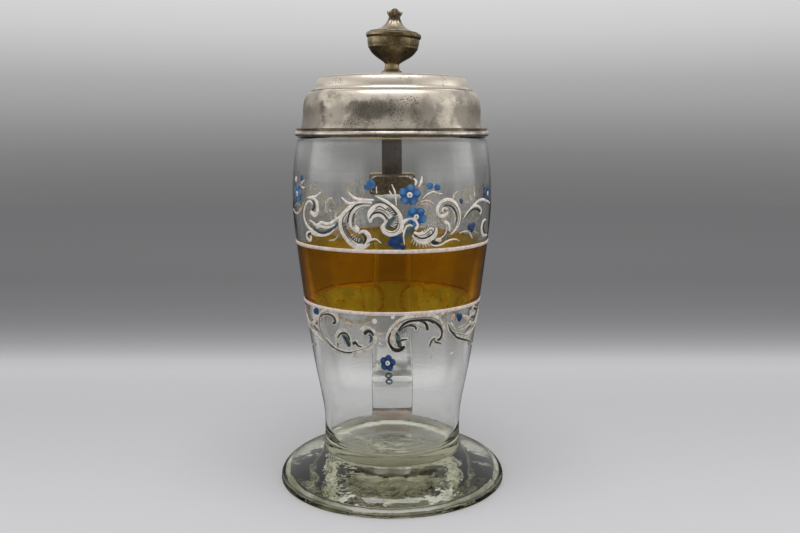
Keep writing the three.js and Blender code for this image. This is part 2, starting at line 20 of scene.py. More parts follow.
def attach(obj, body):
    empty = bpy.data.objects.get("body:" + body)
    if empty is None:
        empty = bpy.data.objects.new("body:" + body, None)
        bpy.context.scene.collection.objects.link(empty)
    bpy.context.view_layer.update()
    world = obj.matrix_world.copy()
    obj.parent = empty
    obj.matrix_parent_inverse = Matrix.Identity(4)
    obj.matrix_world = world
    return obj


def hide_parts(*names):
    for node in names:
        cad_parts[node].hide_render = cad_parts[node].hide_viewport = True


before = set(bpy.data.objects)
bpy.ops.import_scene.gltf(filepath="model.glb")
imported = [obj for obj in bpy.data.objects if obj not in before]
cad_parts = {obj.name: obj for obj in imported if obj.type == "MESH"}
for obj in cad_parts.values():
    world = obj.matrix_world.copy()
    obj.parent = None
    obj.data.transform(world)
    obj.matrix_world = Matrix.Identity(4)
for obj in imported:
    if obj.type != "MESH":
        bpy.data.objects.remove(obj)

LOG = logging.getLogger("tankard")
MM = 0.001
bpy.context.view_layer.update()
SHARP = 40.0  # degrees above which an edge stays sharp
Rgba = tuple[float, float, float, float]
Point = tuple[float, float]
Triple = tuple[float, float, float]


def screen(red: float, green: float, blue: float) -> Rgba:
    """Scene-linear colour of three screen levels from 0 to 255."""
    levels = np.array([red, green, blue]) / 255
    linear = np.where(levels <= 0.04045, levels / 12.92, ((levels + 0.055) / 1.055) ** 2.4)
    return (float(linear[0]), float(linear[1]), float(linear[2]), 1.0)


def grey(level: float) -> Rgba:
    """Scene-linear grey of one screen level from 0 to 255."""
    return screen(level, level, level)


# Node trees


class Value:
    """Output of a node, on which sums are written as Python expressions."""

    def __init__(self, nodes: "Nodes", socket: bpy.types.NodeSocket | None) -> None:
        """Keeps the tree and the socket."""
        self.nodes = nodes
        self.socket = socket

    def __add__(self, other: Any) -> "Value":
        """This output plus another."""
        return self.nodes.math("ADD", self, other)

    def __radd__(self, other: Any) -> "Value":
        """A number plus this output."""
        return self.nodes.math("ADD", other, self)

    def __sub__(self, other: Any) -> "Value":
        """This output less another."""
        return self.nodes.math("SUBTRACT", self, other)

    def __rsub__(self, other: Any) -> "Value":
        """A number less this output."""
        return self.nodes.math("SUBTRACT", other, self)

    def __mul__(self, other: Any) -> "Value":
        """This output times another."""
        return self.nodes.math("MULTIPLY", self, other)

    def __rmul__(self, other: Any) -> "Value":
        """A number times this output."""
        return self.nodes.math("MULTIPLY", other, self)

    def __truediv__(self, other: Any) -> "Value":
        """This output divided by another."""
        return self.nodes.math("DIVIDE", self, other)

    def floor(self) -> "Value":
        """Largest whole number not above this output."""
        return self.nodes.math("FLOOR", self)

    def size(self) -> "Value":
        """This output without its sign."""
        return self.nodes.math("ABSOLUTE", self)


class Nodes:
    """Node tree that is filled through one method."""

    def __init__(self, tree: bpy.types.NodeTree) -> None:
        """Keeps the tree to fill."""
        self.tree = tree

    def node(self, kind: str, inputs: dict[Any, Any] | None = None, output: Any = 0,
             **settings: Any) -> Value:
        """Adds a node.

        Args:
            kind: Blender's name of the node type.
            inputs: Values or outputs for its sockets, by name or number.
            output: Name or number of the socket that is wanted.
            settings: Properties of the node, set first; "stops" fills a colour ramp.

        Returns:
            The wanted output, empty for a node that has none.
        """
        made = self.tree.nodes.new(kind)
        for name, setting in settings.items():
            if name == "stops":
                self.fill_ramp(made.color_ramp, setting)
            else:
                setattr(made, name, setting)
        for name, value in (inputs or {}).items():
            if isinstance(value, Value):
                self.tree.links.new(value.socket, made.inputs[name])
            else:
                made.inputs[name].default_value = value
        return Value(self, made.outputs[output] if made.outputs else None)

    @staticmethod
    def fill_ramp(ramp: bpy.types.ColorRamp, stops: Sequence[tuple[float, Rgba]]) -> None:
        """Gives a colour ramp its stops.

        Args:
            ramp: Ramp of a new node, which has two stops.
            stops: Place from 0 to 1 and colour of each stop, in order.
        """
        while len(ramp.elements) < len(stops):
            ramp.elements.new(1.0)
        for element, (place, colour) in zip(ramp.elements, stops):
            element.position = place
            element.color = colour

    def math(self, operation: str, *values: Any) -> Value:
        """One operation on numbers or outputs."""
        return self.node("ShaderNodeMath", dict(enumerate(values)), operation=operation)

    def band(self, value: Any, low: float, high: float) -> Value:
        """Share from 0 at the low value to 1 at the high one, with soft ends."""
        return self.node("ShaderNodeMapRange", {
            "Value": value, "From Min": low, "From Max": high}, interpolation_type="SMOOTHSTEP")

    def ray(self, kind: str) -> Value:
        """1 for rays of one kind, 0 for all others."""
        return self.node("ShaderNodeLightPath", output=f"Is {kind} Ray")

    def axis(self, vector: Value, axis: str) -> Value:
        """One of the three numbers of a vector."""
        return self.node("ShaderNodeSeparateXYZ", {0: vector}, axis)


class Finish(Nodes):
    """Material under construction, on Object coordinates."""

    def __init__(self, name: str) -> None:
        """Starts an empty material."""
        self.material = bpy.data.materials.new(name)
        self.material.use_nodes = True
        super().__init__(self.material.node_tree)
        self.tree.nodes.clear()
        self.place = self.node("ShaderNodeTexCoord", output="Object")

    def spot(self, stretch: Sequence[float] = (1, 1, 1), shift: Sequence[float] = (0, 0, 0),
             turn: Sequence[float] = (0, 0, 0)) -> Value:
        """Object coordinates, moved, turned and stretched."""
        return self.node("ShaderNodeMapping", {
            "Vector": self.place, "Location": shift, "Rotation": turn, "Scale": stretch})

    def noise(self, scale: float, detail: float = 3, roughness: float = 0.5,
              at: Value | None = None, distortion: float = 0) -> Value:
        """Cloudy noise from 0 to 1, at a number of clouds per metre."""
        return self.node("ShaderNodeTexNoise", {
            "Vector": at or self.place, "Scale": scale, "Detail": detail,
            "Roughness": roughness, "Distortion": distortion}, "Fac")

    def cells(self, scale: float, at: Value | None = None) -> Value:
        """Distance to the nearest of many scattered points."""
        return self.node("ShaderNodeTexVoronoi", {
            "Vector": at or self.place, "Scale": scale}, "Distance")

    def mix(self, share: Any, first: Any, second: Any) -> Value:
        """Colour between two, by a share."""
        return self.node("ShaderNodeMix", {0: share, 6: first, 7: second}, 2,
                         data_type="RGBA", clamp_factor=True)

    def bump(self, height: Value, strength: float, depth: float,
             under: Value | None = None) -> Value:
        """Normal of a relief with a depth in metres, on top of another relief."""
        inputs: dict[str, Any] = {"Height": height, "Strength": strength, "Distance": depth}
        if under:
            inputs["Normal"] = under
        return self.node("ShaderNodeBump", inputs, "Normal")

    def coordinate(self, axis: str) -> Value:
        """One of the three Object coordinates, in metres."""
        return self.axis(self.place, axis)

    def distance(self, centre: Sequence[float], stretch: Sequence[float] = (1, 1, 1)) -> Value:
        """Distance from a point in metres, with each axis stretched."""
        away = self.node("ShaderNodeVectorMath", {0: self.place, 1: centre}, operation="SUBTRACT")
        scaled = self.node("ShaderNodeVectorMath", {0: away, 1: stretch}, operation="MULTIPLY")
        return self.node("ShaderNodeVectorMath", {0: scaled}, "Value", operation="LENGTH")

    def reach(self, value: Value, ends: Point) -> Value:
        """Share from 0 to 1 between two distances in millimetres."""
        return self.band(value, ends[0] * MM, ends[1] * MM)

    def attribute(self, name: str) -> Value:
        """Number that the mesh stores at each point."""
        return self.node("ShaderNodeAttribute", output="Fac", attribute_name=name)

    def principled(self, colour: Any, rough: Any, inputs: dict[str, Any]) -> Value:
        """Main shader, with its colour, its roughness and other inputs."""
        return self.node("ShaderNodeBsdfPrincipled", {
            "Base Color": colour, "Roughness": rough, **inputs})

    def letting_light(self, surface: Value, light: Rgba) -> Value:
        """Surface that casts a tinted shadow, as clear things do."""
        clear = self.node("ShaderNodeBsdfTransparent", {"Color": light})
        return self.node("ShaderNodeMixShader", {0: self.ray("Shadow"), 1: surface, 2: clear})

    def done(self, surface: Value, volume: Value | None = None) -> bpy.types.Material:
        """Ends the material with its surface and volume."""
        inputs = {"Surface": surface}
        if volume:
            inputs["Volume"] = volume
        self.node("ShaderNodeOutputMaterial", inputs)
        return self.material


class Growth(Nodes):
    """Geometry Nodes tree with named inputs, which turns a guide mesh into a finished one."""

    def __init__(self, name: str, inputs: dict[str, tuple[str, Any]]) -> None:
        """Starts a tree.

        Args:
            name: Name of the tree.
            inputs: Type and default of each named input after the guide mesh.
        """
        super().__init__(bpy.data.node_groups.new(name, "GeometryNodeTree"))
        interface = self.tree.interface
        interface.new_socket("Guide", in_out="INPUT", socket_type="NodeSocketGeometry")
        interface.new_socket("Piece", in_out="OUTPUT", socket_type="NodeSocketGeometry")
        for label, (kind, default) in inputs.items():
            socket = interface.new_socket(label, in_out="INPUT", socket_type=kind)
            if default is not None:
                socket.default_value = default
        interface.new_socket("Finish", in_out="INPUT", socket_type="NodeSocketMaterial")
        self.entry = self.tree.nodes.new("NodeGroupInput")

    def given(self, name: str) -> Value:
        """One of the tree's named inputs."""
        return Value(self, self.entry.outputs[name])

    def stored(self, name: str) -> Value:
        """Number that the guide stores at each point."""
        return self.node("GeometryNodeInputNamedAttribute", {"Name": name}, "Attribute",
                         data_type="FLOAT")

    def store(self, geometry: Value, name: str, value: Value) -> Value:
        """Geometry that stores a number at each point."""
        return self.node("GeometryNodeStoreNamedAttribute", {
            "Geometry": geometry, "Name": name, "Value": value}, data_type="FLOAT")

    def position(self) -> Value:
        """Place of each point."""
        return self.node("GeometryNodeInputPosition")

    def number(self) -> Value:
        """Number of each point or instance, from 0."""
        return self.node("GeometryNodeInputIndex")

    def vector(self, x: Any, y: Any, z: Any) -> Value:
        """Vector of three numbers or outputs."""
        return self.node("ShaderNodeCombineXYZ", {"X": x, "Y": y, "Z": z})

    def parts(self, vector: Value) -> tuple[Value, Value, Value]:
        """The three numbers of a vector."""
        split = self.node("ShaderNodeSeparateXYZ", {0: vector})
        sockets = split.socket.node.outputs
        return Value(self, sockets[0]), Value(self, sockets[1]), Value(self, sockets[2])

    def moved(self, geometry: Value, place: Value) -> Value:
        """Geometry with every point at a new place."""
        return self.node("GeometryNodeSetPosition", {"Geometry": geometry, "Position": place})

    def end(self, geometry: Value) -> bpy.types.NodeTree:
        """Ends the tree with real geometry that has its finish."""
        real = self.node("GeometryNodeRealizeInstances", {"Geometry": geometry})
        dressed = self.node("GeometryNodeSetMaterial", {
            "Geometry": real, "Material": self.given("Finish")})
        self.node("NodeGroupOutput", {"Piece": dressed})
        return self.tree


def placed(name: str, data: bpy.types.ID) -> bpy.types.Object:
    """New object in the scene."""
    made = bpy.data.objects.new(name, data)
    bpy.context.scene.collection.objects.link(made)
    return made


def one_finish(mesh: bpy.types.Mesh, finish: bpy.types.Material) -> None:
    """Gives all faces of a mesh the same material."""
    mesh.materials.clear()
    mesh.materials.append(finish)
    mesh.polygons.foreach_set("material_index", [0] * len(mesh.polygons))


def grow(name: str, guide: bpy.types.Mesh, tree: bpy.types.NodeTree,
         values: dict[str, Any]) -> bpy.types.Object:
    """Runs a geometry tree on a guide mesh and keeps its result as a plain mesh.

    Args:
        name: Name of the new object.
        guide: Mesh that the tree reads.
        tree: Geometry Nodes tree.
        values: Values of the tree's named inputs.

    Returns:
        Object with the plain mesh.
    """
    source = placed(name + "_guide", guide)
    modifier = source.modifiers.new("growth", "NODES")
    modifier.node_group = tree
    for item in tree.interface.items_tree:
        if item.item_type == "SOCKET" and item.in_out == "INPUT" and item.name in values:
            modifier[item.identifier] = values[item.name]
    graph = bpy.context.evaluated_depsgraph_get()
    mesh = bpy.data.meshes.new_from_object(source.evaluated_get(graph))
    bpy.data.objects.remove(source)
    mesh.name = name
    one_finish(mesh, values["Finish"])
    return placed(name, mesh)


# Meshes


def guide_mesh(name: str, points: np.ndarray, edges: Sequence[tuple[int, int]],
               numbers: dict[str, np.ndarray] | None = None) -> bpy.types.Mesh:
    """Mesh of points and edges that a geometry tree reads.

    Args:
        name: Name of the mesh.
        points: Places in metres.
        edges: Pairs of points.
        numbers: Numbers stored at the points, by attribute name.

    Returns:
        The mesh.
    """
    mesh = bpy.data.meshes.new(name)
    mesh.from_pydata([tuple(map(float, p)) for p in points], list(edges), [])
    for label, values in (numbers or {}).items():
        mesh.attributes.new(label, "FLOAT", "POINT").data.foreach_set(
            "value", np.asarray(values, np.float32))
    return mesh


def coordinates(mesh: bpy.types.Mesh) -> np.ndarray:
    """Places of a mesh's points."""
    flat = np.empty(3 * len(mesh.vertices), np.float32)
    mesh.vertices.foreach_get("co", flat)
    return flat.reshape(-1, 3).astype(float)


def reshape(mesh: bpy.types.Mesh, points: np.ndarray) -> None:
    """Moves a mesh's points to new places."""
    mesh.vertices.foreach_set("co", points.astype(np.float32).ravel())
    mesh.update()


def outward(mesh: bpy.types.Mesh, sharp: float = SHARP) -> None:
    """Turns the faces of closed shells outwards and smooths all but sharp edges.

    Args:
        mesh: Mesh to finish.
        sharp: Angle in degrees above which an edge stays sharp.
    """
    shape = bmesh.new()
    shape.from_mesh(mesh)
    bmesh.ops.recalc_face_normals(shape, faces=shape.faces)
    shape.to_mesh(mesh)
    shape.free()
    mesh.shade_smooth()
    mesh.set_sharp_from_angle(angle=math.radians(sharp))


def softened(node: str, name: str, finish: bpy.types.Material, bevel: float) -> bpy.types.Object:
    """Copy of a CAD node with its sharp edges rounded off.

    Args:
        node: Name of the CAD node.
        name: Name of the new piece.
        finish: Its material.
        bevel: Width of the rounding in millimetres.

    Returns:
        The new object.
    """
    shape = bmesh.new()
    shape.from_mesh(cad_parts[node].data)
    bmesh.ops.remove_doubles(shape, verts=shape.verts, dist=1e-7)
    bmesh.ops.dissolve_limit(shape, angle_limit=math.radians(1), verts=shape.verts,
                             edges=shape.edges)
    bmesh.ops.recalc_face_normals(shape, faces=shape.faces)
    edges = [edge for edge in shape.edges
             if edge.is_manifold and edge.calc_face_angle() > math.radians(SHARP)]
    bmesh.ops.bevel(shape, geom=edges, offset=bevel * MM, segments=2, profile=0.5,
                    affect="EDGES", clamp_overlap=True)
    mesh = bpy.data.meshes.new(name)
    shape.to_mesh(mesh)
    shape.free()
    mesh.materials.append(finish)
    outward(mesh)
    return placed(name, mesh)


def seat(piece: bpy.types.Object, body: str, slot: str, *nodes: str) -> bpy.types.Object:
    """Attaches a finished piece to its body and hides the CAD nodes it stands for.

    Args:
        piece: Finished object.
        body: CAD body that it rides on.
        slot: Not used.
        nodes: CAD nodes that it replaces.

    Returns:
        The piece.
    """
    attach(piece, body)
    if nodes:
        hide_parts(*nodes)
    LOG.info("%s: %d faces on %s", piece.name, len(piece.data.polygons), body)
    return piece


class Outline:
    """Turned outline in millimetres: radius and height of each point."""

    def __init__(self, radius: float, height: float) -> None:
        """Starts the outline."""
        self.points: list[Point] = [(radius, height)]

    def line(self, *points: Point) -> "Outline":
        """Goes straight through some points."""
        self.points.extend(points)
        return self

    def bend(self, first: Point, second: Point, last: Point, steps: int = 10) -> "Outline":
        """Goes to the last point on a curve that two others pull."""
        start, a, b, end = (np.array(p) for p in (self.points[-1], first, second, last))
        for share in np.linspace(0, 1, steps + 1)[1:]:
            rest = 1 - share
            place = (rest ** 3 * start + 3 * rest ** 2 * share * a
                     + 3 * rest * share ** 2 * b + share ** 3 * end)
            self.points.append((float(place[0]), float(place[1])))
        return self

    def arc(self, centre: Point, radius: float, start: float, end: float,
            steps: int = 8) -> "Outline":
        """Goes round part of a circle, between two angles in degrees."""
        for angle in np.radians(np.linspace(start, end, steps + 1)):
            self.points.append((centre[0] + radius * math.cos(angle),
                                centre[1] + radius * math.sin(angle)))
        return self

    def rounded(self, *corners: Triple, steps: int = 4) -> "Outline":
        """Goes through corners that are rounded off.

        Args:
            corners: Radius, height and size of the rounding at each corner.
            steps: Steps of each rounding.

        Returns:
            The outline.
        """
        path = [np.array(self.points[-1])] + [np.array(c[:2]) for c in corners]
        for i, (radius, height, size) in enumerate(corners, 1):
            if not size or i == len(path) - 1:
                self.points.append((radius, height))
                continue
            before, here, after = path[i - 1], path[i], path[i + 1]
            start = here + size * (before - here) / np.linalg.norm(before - here)
            end = here + size * (after - here) / np.linalg.norm(after - here)
            for share in np.linspace(0, 1, steps + 1):
                place = (1 - share) ** 2 * start + 2 * share * (1 - share) * here + share ** 2 * end
                self.points.append((float(place[0]), float(place[1])))
        return self


class Lathe:
    """Geometry tree that turns an outline about the upright axis."""

    def __init__(self) -> None:
        """Builds the tree."""
        growth = Growth("turned_piece", {"Sides": ("NodeSocketInt", 96)})
        guide, sides = growth.given("Guide"), growth.given("Sides")
        rows = growth.node("GeometryNodeAttributeDomainSize", {"Geometry": guide}, "Point Count",
                           component="MESH")
        grid = growth.node("GeometryNodeMeshGrid", {
            "Size X": 1.0, "Size Y": 1.0, "Vertices X": sides + 1, "Vertices Y": rows})
        number = growth.number()
        column = (number / rows + 0.001).floor()
        place = growth.node("GeometryNodeSampleIndex", {
            "Geometry": guide, "Value": growth.position(), "Index": number - column * rows},
            data_type="FLOAT_VECTOR")
        turned = growth.node("ShaderNodeVectorRotate", {
            "Vector": place, "Angle": column * (2 * math.pi) / sides}, rotation_type="Z_AXIS")
        body = growth.moved(grid, turned)
        closed = growth.node("GeometryNodeMergeByDistance", {"Geometry": body, "Distance": 1e-6})
        self.tree = growth.end(closed)

    def turn(self, name: str, outline: Outline, finish: bpy.types.Material,
             sides: int = 128, sharp: float = SHARP) -> bpy.types.Object:
        """Turns an outline into a closed piece.

        Args:
            name: Name of the piece.
            outline: Its outline, from axis to axis or closed on itself.
            finish: Its material.
            sides: Number of sides round the axis.
            sharp: Angle in degrees above which an edge stays sharp.

        Returns:
            The new object.
        """
        points = np.array([(r * MM, 0, z * MM) for r, z in outline.points])
        keep = [0] + [i for i in range(1, len(points))
                      if np.linalg.norm(points[i] - points[i - 1]) > 1e-6]
        points = points[keep]
        edges = [(i, i + 1) for i in range(len(points) - 1)]
        guide = guide_mesh(name + "_outline", points, edges)
        made = grow(name, guide, self.tree, {"Sides": sides, "Finish": finish})
        outward(made.data, sharp)
        return made


# Finishes

GLASS_IOR = 1.5
BRUSH_RELIEF = 0.00008  # metres of relief on a dab of enamel
ALL: Point = (-2, -1)  # distances that leave nothing out


@dataclass(frozen=True)
class BlownGlass:
    """Clear old glass with a faint cast and the ripples of blowing.

    Attributes:
        name: Name of the material.
        cast: Colour that its depth keeps.
        depth: How fast that depth takes the rest, per metre.
        ripple: Strength of the ripples.
        waves: How many there are in a metre.
        painted_light_tint: Colour of the cloudy patches, a tint of painted light.
        tint_heights: Heights in millimetres where these patches are full and where they end.
        tint_sides: Distances from the middle plane where they start and where they are full.
        tint_reach: Distances from the axis where they start and where they are full.
        ground: Heights where the rough underside starts and where it is full.
        floor: Height of the middle of the vessel's uneven floor.
        floor_reach: Distances from that middle where the floor starts and where it is full.
        shadow: Colour of the light that it lets through.
    """

    name: str
    cast: Rgba
    depth: float
    ripple: float
    waves: float = 34
    painted_light_tint: Rgba = (1, 1, 1, 1)
    tint_heights: Point = (0, 1)
    tint_sides: Point = ALL
    tint_reach: Point = ALL
    ground: Point = (4.5, 2.5)
    floor: float = 23.2
    floor_reach: Point = (37, 33)
    shadow: Rgba = screen(243, 243, 235)

    def relief(self, make: Finish) -> Value:
        """Waves and rings of the blowing, most uneven on the underside of the foot."""
        waves = make.noise(self.waves, 2, 0.4, make.spot((1, 1, 0.55)))
        rings = make.noise(520, 2, 0.5, make.spot((0.05, 0.05, 1)))
        relief = make.bump(waves, self.ripple, 0.0012)
        relief = make.bump(rings, self.ripple, 0.00008, relief)
        under = make.reach(make.coordinate("Z"), self.ground)
        inner = make.reach(make.distance((0, 0, self.floor * MM), (1, 1, 4)), self.floor_reach)
        return make.bump(make.noise(70, 3, 0.45) * (under + inner * 0.9), 1.0, 0.0009, relief)

    def material(self) -> bpy.types.Material:
        """Builds the material."""
        make = Finish(self.name)
        relief = self.relief(make)
        # Painted light: a cloudy tint laid into the glass's colour between set heights, sides and
        # distances from the axis.
        tint_share = make.reach(make.coordinate("Z"), self.tint_heights[::-1])
        tint_share = tint_share * make.reach(make.coordinate("X").size(), self.tint_sides)
        tint_share = tint_share * make.reach(make.distance((0, 0, 0), (1, 1, 0)), self.tint_reach)
        tint_share = tint_share * make.band(make.noise(75, 4, 0.6), 0.36, 0.54)
        tint = make.mix(tint_share, (1, 1, 1, 1), self.painted_light_tint)
        glass = make.principled(tint, 0.0, {
            "IOR": GLASS_IOR, "Transmission Weight": 1.0, "Normal": relief})
        depth = make.node("ShaderNodeVolumeAbsorption", {
            "Color": self.cast, "Density": self.depth})
        return make.done(make.letting_light(glass, self.shadow), depth)


@dataclass(frozen=True)
class AmberStain:
    """Stain fired into the glass, a clear yellow-brown film that is cloudy in places.

    Attributes:
        name: Name of the material.
        pale: Colour of the thin places.
        deep: Colour of the thick places.
        streaks: Streaks per metre.
        clouds: Large clouds per metre.
        weights: How much streaks and clouds count.
        ends: Their level in thick and in thin places.
    """

    name: str
    pale: Rgba
    deep: Rgba
    streaks: float = 42.0
    clouds: float = 9.0
    weights: Point = (0.7, 0.3)
    ends: Point = (0.36, 0.64)

    def material(self) -> bpy.types.Material:
        """Builds the material."""
        make = Finish(self.name)
        streaks = make.noise(self.streaks, 4, 0.6, make.spot((1, 1, 2.2)), 0.8)
        level = streaks * self.weights[0] + make.noise(self.clouds, 2) * self.weights[1]
        tint = make.mix(make.band(level, *self.ends), self.deep, self.pale)
        film = make.principled(tint, 0.0, {"IOR": 1.0, "Transmission Weight": 1.0})
        return make.done(make.letting_light(film, self.pale))


@dataclass(frozen=True)
class Enamel:
    """Fired enamel paint, satin, with thin and thick places.

    Attributes:
        name: Name of the material.
        thick: Colour where the paint is thick.
        thin: Colour where it is thin.
        cover: How much it hides where it is thin, from 0 to 1.
    """

    name: str
    thick: Rgba
    thin: Rgba
    cover: float = 1.0

    def material(self) -> bpy.types.Material:
        """Builds the material."""
        make = Finish(self.name)
        clouds = make.noise(420, 4, 0.6)
        grain = make.noise(2600, 2, 0.5)
        share = make.band(clouds, 0.34, 0.62)
        colour = make.mix(share, self.thin, self.thick)
        inputs = {"IOR": GLASS_IOR,
                  "Normal": make.bump(clouds + grain * 0.4, 0.35, BRUSH_RELIEF)}
        if self.cover < 1:
            inputs["Alpha"] = self.cover + share * (1 - self.cover)
        return make.done(make.principled(colour, 0.34 + 0.2 * grain, inputs))


@dataclass(frozen=True)
class PetalEnamel:
    """Blue of the flowers, darkest round the eye and pale towards the tips.

    Attributes:
        name: Name of the material.
        heart: Colour round the eye.
        petal: Colour of most of the petal.
        tip: Colour of its edge.
    """

    name: str
    heart: Rgba
    petal: Rgba
    tip: Rgba

    def material(self) -> bpy.types.Material:
        """Builds the material."""
        make = Finish(self.name)
        brushed = make.noise(700, 3, 0.6)
        wash = make.noise(260, 2, 0.5)
        reach = make.attribute("reach") + (wash - 0.5) * 0.5
        colour = make.mix(make.band(reach, 0.4, 0.95), self.heart, self.petal)
        colour = make.mix(make.band(reach, 0.95, 1.2) * 0.8, colour, self.tip)
        colour = make.mix(make.band(brushed, 0.5, 0.7) * 0.55, colour, self.heart)
        return make.done(make.principled(colour, 0.36 + 0.16 * brushed, {
            "IOR": GLASS_IOR, "Normal": make.bump(brushed, 0.4, BRUSH_RELIEF)}))


@dataclass(frozen=True)
class Patch:
    """Dark patch on old pewter: oxide in most places, painted shade in some.

    Attributes:
        middle: Its middle, in millimetres.
        half: Half of its size along each axis, in millimetres.
        strength: How strong it is, from 0 to 1.
    """

    middle: Triple
    half: Triple
    strength: float


@dataclass(frozen=True)
class Pewter:
    """Old pewter, worn smooth, with oxide, pits and fine scratches, and dark patches that are partly
    painted shade.

    Attributes:
        name: Name of the material.
        bright: Colour of the worn metal.
        dull: Colour of the oxide film.
        film: How much of the surface the film covers, from 0 to 1.
        rough: Roughness of the worn metal.
        stains_and_shade: Dark patches, of oxide and of painted shade.
        pitted: Places with most of the pits.
        grooves: Height and half width in millimetres of grooves that hold oxide.
        oxide_and_shade: Colour of the patches and grooves: oxide, and painted shade where a patch
            stands for it.
        pit: Colour inside the pits.
        clouds: Clouds of the film per metre.
        grain: Grains of the fine texture per metre.
        film_low: Cloud level at which a thin film starts, and how much lower a full one does.
        film_high: The same for the level at which it is closed.
        ragged: How far a patch's edge wanders, in shares of its half size.
        patch_edge: Where a patch starts and where it is full, in the same shares.
        groove_edge: The same for a groove, in shares of its half width.
        groove_strength: How dark the grooves are.
        stray: Strength of the pits outside the pitted places.
        pit_layers: Large and small pits, each with its number per metre, its squeeze in
            height, the distances where its edge and its floor are, and its strength.
        scratches: Scratches per metre, across the piece and round it.
        depths: Depth in metres of the waves and of the fine relief.
    """

    name: str
    bright: Rgba
    dull: Rgba
    film: float
    rough: float
    stains_and_shade: tuple[Patch, ...] = ()
    pitted: tuple[Patch, ...] = ()
    grooves: tuple[Point, ...] = ()
    oxide_and_shade: Rgba = screen(104, 97, 88)
    pit: Rgba = screen(56, 48, 39)
    clouds: float = 58.0
    grain: float = 900.0
    film_low: Point = (0.78, 0.5)
    film_high: Point = (0.9, 0.4)
    ragged: float = 0.55
    patch_edge: Point = (1.12, 0.72)
    groove_edge: Point = (1.5, 0.5)
    groove_strength: float = 0.75
    stray: float = 0.7
    pit_layers: tuple[tuple[float, ...], ...] = (
        (760.0, 1.3, 0.53, 0.36, 1.0), (1400.0, 1.2, 0.56, 0.4, 0.8))
    scratches: Point = (700.0, 1500.0)
    depths: Point = (0.0008, 0.00006)

    def share(self, make: Finish, stains_and_shade: Sequence[Patch]) -> Value | float:
        """Share of some patches at a point."""
        total: Value | float = 0.0
        for each_patch in stains_and_shade:
            centre = [c * MM for c in each_patch.middle]
            stretch = [1 / (h * MM) for h in each_patch.half]
            away = make.distance(centre, stretch) + make.noise(160, 4, 0.62) * (2 * self.ragged)
            total = make.band(away - self.ragged, *self.patch_edge) * each_patch.strength + total
        return total

    def pits(self, make: Finish, fine: Value) -> Value:
        """Depth of both layers of pits at a point, from 0 to 1."""
        layers = [make.band(make.cells(count, make.spot((1, 1, squeeze))) + fine * 0.35, edge,
                            floor) * strength
                  for count, squeeze, edge, floor, strength in self.pit_layers]
        return make.math("MAXIMUM", *layers)

    def material(self) -> bpy.types.Material:
        """Builds the material."""
        make = Finish(self.name)
        clouds = make.noise(self.clouds, 5, 0.6)
        fine = make.noise(self.grain, 3, 0.6)
        levels = (thin - self.film * lower for thin, lower in (self.film_low, self.film_high))
        film = make.band(clouds + (fine - 0.5) * 0.35, *levels)
        stains_and_shade = self.share(make, self.stains_and_shade)
        for height, half in self.grooves:
            off = (make.coordinate("Z") - height * MM).size() + fine * 0.00012
            edge = make.band(off, *(half * share * MM for share in self.groove_edge))
            stains_and_shade = edge * self.groove_strength + stains_and_shade
        rare = make.band(make.noise(120, 3, 0.6), 0.52, 0.7) * self.stray
        places = make.math("MINIMUM", rare + self.share(make, self.pitted), 1.0)
        pits = self.pits(make, fine) * places
        across, around = self.scratches
        scratches = make.noise(across, 2, 0.7, make.spot((0.06, 1, 1), turn=(0.3, 0.5, 0.4)))
        lines = make.noise(around, 1, 0.5, make.spot((0.03, 0.03, 1)))
        worn = make.mix(film, self.bright, self.dull)
        # Patches and grooves darken the worn metal: oxide, and painted shade where a patch stands for
        # it.
        dark = make.mix(stains_and_shade, worn, self.oxide_and_shade)
        colour = make.mix(pits, dark, self.pit)
        waves, rubbed = self.depths
        relief = make.bump(clouds, 0.35, waves)
        relief = make.bump(scratches * 0.5 + lines * 0.3 + fine * 0.4 - pits * 1.1, 0.5,
                           rubbed, relief)
        rough = self.rough + film * 0.1 + stains_and_shade * 0.12 + (fine - 0.5) * 0.12
        return make.done(make.principled(colour, rough, {
            "Metallic": 1.0 - pits * 0.5, "Normal": relief}))


# Glass


